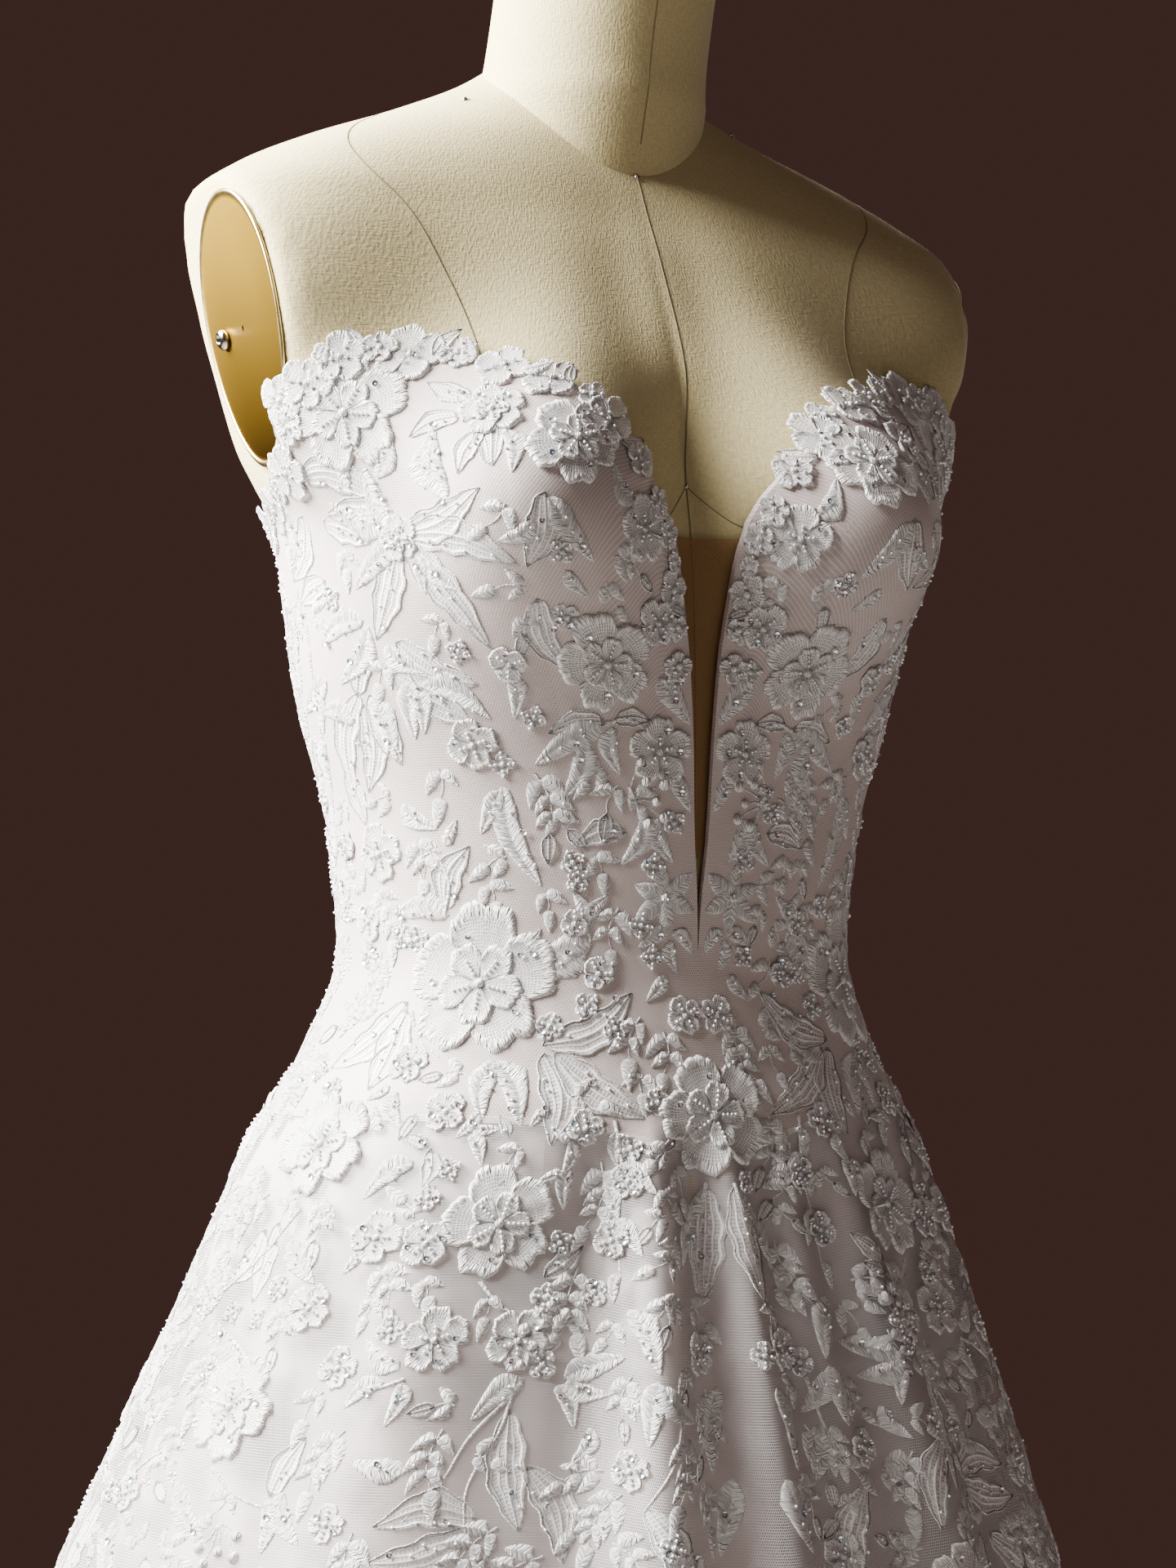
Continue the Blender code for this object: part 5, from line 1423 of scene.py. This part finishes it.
def make_lace(skin, finishes):
    """The lace of the bodice and the skirt, side by side, and the beads that lie on it."""
    beads, sequins, made = [], [], {}
    for side, word in SIDES:
        hand = Hand(skin, side)
        bodice, skirt = Lace(f"lace_bodice_{word}"), Lace(f"lace_skirt_{word}")
        edge, back = Lace(f"lace_neckline_{word}"), Lace(f"lace_back_{word}")

        def layer(height):
            return bodice if height > BODICE_FOOT else skirt

        for points in STEMS:
            cord(hand, layer(points[0][1]), [(a, h / 1000) for a, h in points])
        for number, entry in enumerate(LEAVES):
            draw_leaf(hand, layer(entry.base_height), entry, number)
        for number, bloom in enumerate(BLOOMS):
            draw_bloom(hand, layer(bloom.height), bloom, number)
        star(hand, bodice, (STAR.angle, STAR.height / 1000), STAR.radius / 1000)
        for number, angle in enumerate(np.arange(*WAIST_RUN)):
            height = 1000 * float(waist_seam(angle)) + 3 * math.sin(2.3 * number)
            reach = 2.6 + 0.9 * math.sin(1.7 * number)
            rise = 5.5 * math.sin(2.9 * number + 0.7)
            draw_leaf(hand, skirt, Leaf(angle, height - rise, angle + reach, height + rise,
                                        NET if number % 3 == 1 else SATIN), number)
        for sprig in SPRIGS:
            berries(hand, layer(sprig.height), sprig)
        if side > 0:
            draw_bloom(hand, skirt, CENTRE_BLOOM, 1)

        fill_between(hand, layer, (1.0, BACK_FROM, FILL_FOOT, 236),
                     lying([*BLOOMS, CENTRE_BLOOM, STAR], LEAVES),
                     np.random.default_rng(FRONT_SEED + side))

        blooms, leaves = list(BACK_BLOOMS), []
        for number, bloom in enumerate(BACK_BLOOMS):
            draw_bloom(hand, back, bloom, number)
        for number, entry in enumerate(LEAVES):
            low = on_back(entry.base_angle, entry.base_height)
            tip = on_back(entry.tip_angle, entry.tip_height)
            if clear_on_back(low) and clear_on_back(tip):
                leaves.append(Leaf(*low, *tip, entry.stitch))
                draw_leaf(hand, back, leaves[-1], number + 3)
        for number, bloom in enumerate(BLOOMS):
            at = on_back(bloom.angle, bloom.height)
            if clear_on_back(at, bloom.radius):
                blooms.append(bloom._replace(angle=at[0], height=at[1]))
                draw_bloom(hand, back, blooms[-1], number, 0.4)
        fill_between(hand, lambda height: back, (BACK_FROM + 1, BACK_TO - 3, FILL_FOOT, 186),
                     lying(blooms, leaves), np.random.default_rng(BACK_SEED + side))
        draw_edge(hand, edge)

        nodes = {
            bodice: ["neckline_side", "neckline_bust", "plunge", "waist_side"],
            skirt: ["hip_side", "hip_front", "skirt_side"],
            edge: [], back: ["rib_back", "waist_back"]}
        for lace, names in nodes.items():
            names = [f"lace_{name}_{word}" for name in names]
            if lace is edge:
                names.append(f"lace_edge_{word}")
            if lace is skirt and side > 0:
                names.append("lace_waist_centre")
            made[lace.name] = piece(lace.make(finishes), "lace", *names)
        beads += hand.beads
        sequins += hand.sequins
    made["beads"] = piece(strewn("glass_beads", beads, BEAD_RINGS, 5, 0.0, glass_bead()), "lace")
    made["sequins"] = piece(strewn("sequins", sequins, SEQUIN_RINGS, 9, 0.28, sequin_finish()),
                            "lace")
    return made


def fill_between(hand, layer, region, taken, random):
    """Leafy sprigs and buds between the larger motifs, thinner toward the lace's foot.

    taken holds (angle, height, radius) in degrees and millimetres of what lies there already."""
    first, last, low, high = region
    taken = list(map(tuple, taken))
    for number, row in enumerate(np.arange(high, low, -FILL_STEP * FILL_ROWS)):
        radius = 1000 * float(dress_radius(np.float64(first), np.float64(row / 1000))[0])
        step = math.degrees(FILL_STEP / radius)
        for angle in np.arange(first + (number % 2) * step / 2, last, step):
            spot = (angle + random.uniform(-FILL_STRAY, FILL_STRAY) * step,
                    row + random.uniform(-FILL_STRAY, FILL_STRAY) * FILL_STEP)
            thin = np.clip((spot[1] - FILL_FOOT) / FILL_FADE, 0, 1)
            chance, turn, size, kind = random.random(4)
            if chance > FILL_LEAST + FILL_MORE * thin or not free(spot, taken, radius):
                continue
            nearest = taken[int(room_at(spot, taken, radius).argmin())]
            # A sprig leans away from what lies nearest, a little downwards, and never alike.
            lean = math.atan2(math.radians(radius) * (spot[0] - nearest[0]) * 0.8,
                              spot[1] - nearest[1] - FILL_DROOP) + turn - 0.5
            for length in (FILL_LONGEST + FILL_VARIES * size, *FILL_LENGTHS):
                steps = [(spot[0] + math.degrees(length * share * math.sin(lean) / radius),
                          spot[1] + length * share * math.cos(lean)) for share in (0.4, 0.7, 1.0)]
                if all(free(at, taken, radius) for at in steps):
                    break
            else:
                if kind < 0.5:
                    flower(hand, layer(spot[1]), (spot[0], spot[1] / 1000), 0.0048 + 0.002 * size,
                           360 * turn, 4, False, 0.0, 0.5)
                    taken.append((*spot, BUD_TAKES))
                continue
            spray(hand, layer(spot[1]), (spot[0], spot[1] / 1000), length / 1000, lean, turn, kind)
            taken += [(*at, STEM_TAKES) for at in (spot, *steps)]


def free(spot, taken, radius):
    """Whether a spot keeps clear of the motifs, the neckline and the plunge."""
    if abs(spot[0]) < plunge_clear(spot[1], radius):
        return False
    if spot[1] > 1000 * float(neckline(spot[0])) - EDGE_ROOM:
        return False
    return bool(room_at(spot, taken, radius).min() > FILL_ROOM)


def room_at(spot, taken, radius):
    """Millimetres from a spot to the rim of each thing that lies there."""
    angle, height, reach = np.array(taken).T
    return np.hypot(math.radians(radius) * (angle - spot[0]), height - spot[1]) - reach


def spray(hand, lace, place, length, lean, turn, kind):
    """A bowed stem with leaves down both sides, a leaf at its tip and beads on it."""
    bow = 0.16 * length * (1 if turn > 0.5 else -1)

    def path(share):
        return np.add(toward(share * length, lean),
                      toward(bow * math.sin(math.pi * share), lean + math.pi / 2))

    stem = np.array([path(share) for share in (0, 0.3, 0.6, 0.9)])
    flat_cord(hand, lace, place, stem, 0.0005, 0.0005)
    pairs = max(int(length / 0.0088), 1)
    for k in range(pairs + 1):
        share = 0.88 if k == pairs else 0.12 + 0.72 * k / pairs
        start = hand.place_from(place, *path(share))
        for side in ((0,) if k == pairs else (1, -1)):
            reach = (0.0084 + 0.13 * length) * (1.15 if side == 0 else 1 - 0.22 * k / pairs)
            reach *= 1 + 0.15 * math.sin(9 * turn + 5 * k + side)
            way = lean + side * (0.80 + 0.15 * math.sin(7 * kind + k))
            way += 0.5 * (0.5 - share) * np.sign(bow)
            end = hand.place_from(start, *toward(reach, way))
            leaf(hand, lace, NET if kind > 0.7 and side == 0 else SMALL, start, end,
                 0.27 * reach, 0.10 * side, 0.0001 * k, 0.05)
            if (k + side) % 2 == 0:
                hand.bead(start, *toward(0.55 * reach, way), SATIN_RISE + 0.0002, BEAD_STEM)


def plunge_clear(height, radius):
    """Degrees from the centre front that the small leaves keep clear of."""
    edge = float(seam_angle(PLUNGE, height / 1000)) if height > 0 else 0.0
    return edge + math.degrees(PLUNGE_ROOM / radius)


def lying(blooms, leaves):
    """(angle, height, radius) of spots along the motifs, in degrees and millimetres."""
    spots = [(b.angle, b.height, 0.86 * b.radius) for b in blooms]
    for entry in leaves:
        for share in (0.1, 0.3, 0.5, 0.7, 0.9):
            spots.append((entry.base_angle + share * (entry.tip_angle - entry.base_angle),
                          entry.base_height + share * (entry.tip_height - entry.base_height),
                          LEAF_TAKES))
    return np.array(spots)


def clear_on_back(place, radius=MOTIF_ROOM):
    """Whether a motif there keeps clear of the placket, the back's own flowers and the edges."""
    angle, height = place
    if not BACK_FROM <= angle <= BACK_TO - 0.35 * radius:
        return False
    if height > 1000 * float(neckline(angle)) - 0.7 * radius - 4:
        return False
    for bloom in BACK_BLOOMS:
        off = math.radians(angle - bloom.angle) * BACK_RADIUS
        if math.hypot(off, height - bloom.height) < 0.8 * bloom.radius + 0.6 * radius:
            return False
    return True


def edge_path():
    """(angle, height) of close steps up the plunge and round the neckline, with their lengths."""
    corner = PLUNGE[-1]
    up = np.linspace(EDGE_FROM, corner.height, 40)
    rest = np.linspace(corner.angle + 0.3, EDGE_TO, 500)
    angle = np.concatenate([seam_angle(PLUNGE, up), rest])
    height = np.concatenate([up, neckline(rest)])
    points = surface_point(dress_radius, angle, height)
    return running(steps_along(points)), angle, height


def draw_edge(hand, lace):
    """Flowers and leaves set along the neckline so that they stand up past its edge.

    They are smaller and lower beside the plunge and under the arm."""
    along, angles, heights = edge_path()
    at, number = EDGE_LOOK, 0
    while at < along[-1] - EDGE_LOOK:
        what, size, turn, above, step = EDGE_RUN[number % len(EDGE_RUN)]
        size = size * (1 + 0.12 * math.sin(2.1 * number))
        angle, height = np.interp(at, along, angles), np.interp(at, along, heights)
        ahead = [np.interp(at + EDGE_LOOK, along, values) for values in (angles, heights)]
        way = math.atan2(*hand.span((angle, height), ahead))    # 0 is straight up
        outer = way - math.pi / 2                       # square to the edge, away from the cloth
        beside = angle <= PLUNGE_SIDE
        low = math.exp(-((angle - UNDER_ARM) / ARM_SPREAD) ** 2 / 2)
        above = above / 1000 * (1 - 0.6 * beside) - 0.006 * low - 0.0052 * beside
        size = size / 1000 * (1 - 0.42 * beside - 0.15 * low)
        if what == "bloom":
            fan(hand, lace, (angle, height), toward(above, outer), outer + math.radians(turn - 10),
                size, number)
        else:
            base = hand.place_from((angle, height), *toward(above - 0.55 * size, outer))
            tip = hand.place_from(base, *toward(size, outer + math.radians(turn)))
            leaf(hand, lace, SATIN if number % 3 else NET, base, tip, 0.23 * size,
                 0.12 * math.sin(number), 0.0009)
        at += step / 1000 * (0.80 if beside else 1.0) * (1 + 0.10 * math.sin(3.7 * number))
        number += 1


def fan(hand, lace, place, centre, turn, radius, number):
    """A flower at the edge: its middle lies on the cloth and its petals reach past it."""
    petals, rise = 4 + number % 2, 0.00050 + 0.032 * radius
    step, k = 2 * math.pi / petals, np.arange(petals)
    petal_ring(hand, lace, place, centre, turn, radius * (1 + 0.07 * np.sin(4 * k + number)), 0.54,
               rise, 0.0004 + 0.0005 * (number % 2), 0.0003, 1.9 * k + number)
    knot(hand, lace, place, centre, 0.0016, rise)
    for k in range(4):
        spot = np.add(centre, toward(0.0034 + 0.0012 * (k % 2), turn + (k + 0.5) * step))
        hand.bead(place, *spot, rise + 0.0009, BEAD_BLOOM)


BEAD_RINGS = ((0.75, -0.55), (1.0, 0.10), (0.28, 0.85))     # shares of the radius: out and up
SEQUIN_RINGS = ((0.22, -0.10), (0.62, 0.0), (1.0, 0.22))    # a cupped disc with a hole


def strewn(name, beads, rings, sides, tilt, finish):
    """One mesh with a copy of a small turned shape at each bead, tilted each its own way."""
    random = np.random.default_rng(TILT_SEED)
    spots, normals, sizes = (np.array(column) for column in zip(*beads))
    normals = unit(unit(normals) + tilt * random.uniform(-1, 1, normals.shape))
    across = unit(np.cross(normals, (0, 0, 1)))
    up = np.cross(normals, across)
    turn = np.linspace(0, 2 * math.pi, sides, endpoint=False)
    shape = np.array([(r * math.cos(t), r * math.sin(t), z) for r, z in rings for t in turn])
    points = sum(shape[None, :, [k]] * axis[:, None]
                 for k, axis in enumerate((across, up, normals)))
    points = points * sizes[:, None, None] + spots[:, None]
    shifts = np.arange(len(beads)) * len(shape)
    faces = grid_quads(len(rings), sides, wrap=True)[None] + shifts[:, None, None]
    return add_mesh(name, points, faces.reshape(-1, 4), [finish])


# ---------------------------------------------------------------- build
satin = bodice_cloth()
tulle = net_cloth("ivory tulle", (0.88, 0.87, 0.87), 0.55, 0.00135, 0.085, 0.62, 0.14)
net = net_cloth("nude net", (0.36, 0.215, 0.095), 0.7, 0.00115, 0.12, 0.45, 0.50)
stitches = [stitched_lace("ivory stitches", (0.96, 0.95, 0.935)), open_lace(), open_petal()]

make_form()
dress_skin = Skin(dress_radius, *LACE_HEIGHTS)
sheets = make_bodice(satin)
skirt_sheets = make_skirt(lining_cloth(), tulle)
inset, inset_flat, inset_area = make_inset(net)
placket, placket_flat, placket_area = make_closure(dress_skin, satin)
lace = make_lace(dress_skin, stitches)

# ---------------------------------------------------------------- floor, lights and camera
FLOOR, FLOOR_FAR = (0.60, 0.58, 0.56), 2.4
WORLD = (0.062, 0.034, 0.029, 1)
LIGHTS_AIM = 1.15                          # the height that the lights are aimed at
# Azimuth, elevation, distance, size, power and colour.
LAMPS = {"key": (-107, 36, 1.4, (1.0, 1.0), 188, (1.0, 0.98, 0.955)),
         "fill": (0, 15, 3.2, (2.0, 2.0), 6, (1.0, 0.985, 0.96)),
         "rim": (115, 25, 2.6, (0.5, 1.4), 2.5, (1.0, 0.96, 0.92))}
CAMERA_AZIMUTH, CAMERA_DISTANCE, CAMERA_HEIGHT, CAMERA_PITCH = -28.5, 1.45, 1.10, 2.6
CAMERA_LENS, CAMERA_SENSOR = 73.125, 36

corners = [(x * FLOOR_FAR, y * FLOOR_FAR, 0) for x, y in ((-1, -1), (1, -1), (1, 1), (-1, 1))]
floor = add_mesh("floor", corners, np.array([[0, 1, 2, 3]]),
                 [Finish("pale floor", FLOOR, 0.8).material])

world = bpy.data.worlds.new("studio")
bpy.context.scene.world = world
world.use_nodes = True
background = world.node_tree.nodes["Background"].inputs
background[0].default_value, background[1].default_value = WORLD, 1.0


def area_light(name, azimuth, elevation, distance, size, power, colour):
    """A soft light in a direction round the body, aimed at it."""
    turned, raised = math.radians(azimuth), math.radians(elevation)
    level = distance * math.cos(raised)
    aim = Vector((AXIS_X, AXIS_Y, LIGHTS_AIM))
    place = aim + Vector((level * math.sin(turned), -level * math.cos(turned),
                          distance * math.sin(raised)))
    data = bpy.data.lights.new(name, "AREA")
    data.shape, data.size, data.size_y = "RECTANGLE", *size
    data.energy, data.color = power, colour
    lamp = linked(name, data)
    lamp.location = place
    lamp.rotation_euler = (aim - place).to_track_quat("-Z", "Y").to_euler()


for name, lamp in LAMPS.items():
    area_light(name, *lamp)

camera_data = bpy.data.cameras.new("camera")
camera_data.sensor_fit, camera_data.sensor_height = "VERTICAL", CAMERA_SENSOR
camera_data.lens = CAMERA_LENS
camera_data.clip_start, camera_data.clip_end = 0.05, 60
camera = linked("camera", camera_data)
turned = math.radians(CAMERA_AZIMUTH)
camera.location = (AXIS_X + CAMERA_DISTANCE * math.sin(turned),
                   AXIS_Y - CAMERA_DISTANCE * math.cos(turned), CAMERA_HEIGHT)
camera.rotation_euler = (math.radians(90 + CAMERA_PITCH), 0, turned)
bpy.context.scene.camera = camera
bpy.context.scene.view_settings.look = "AgX - Medium High Contrast"
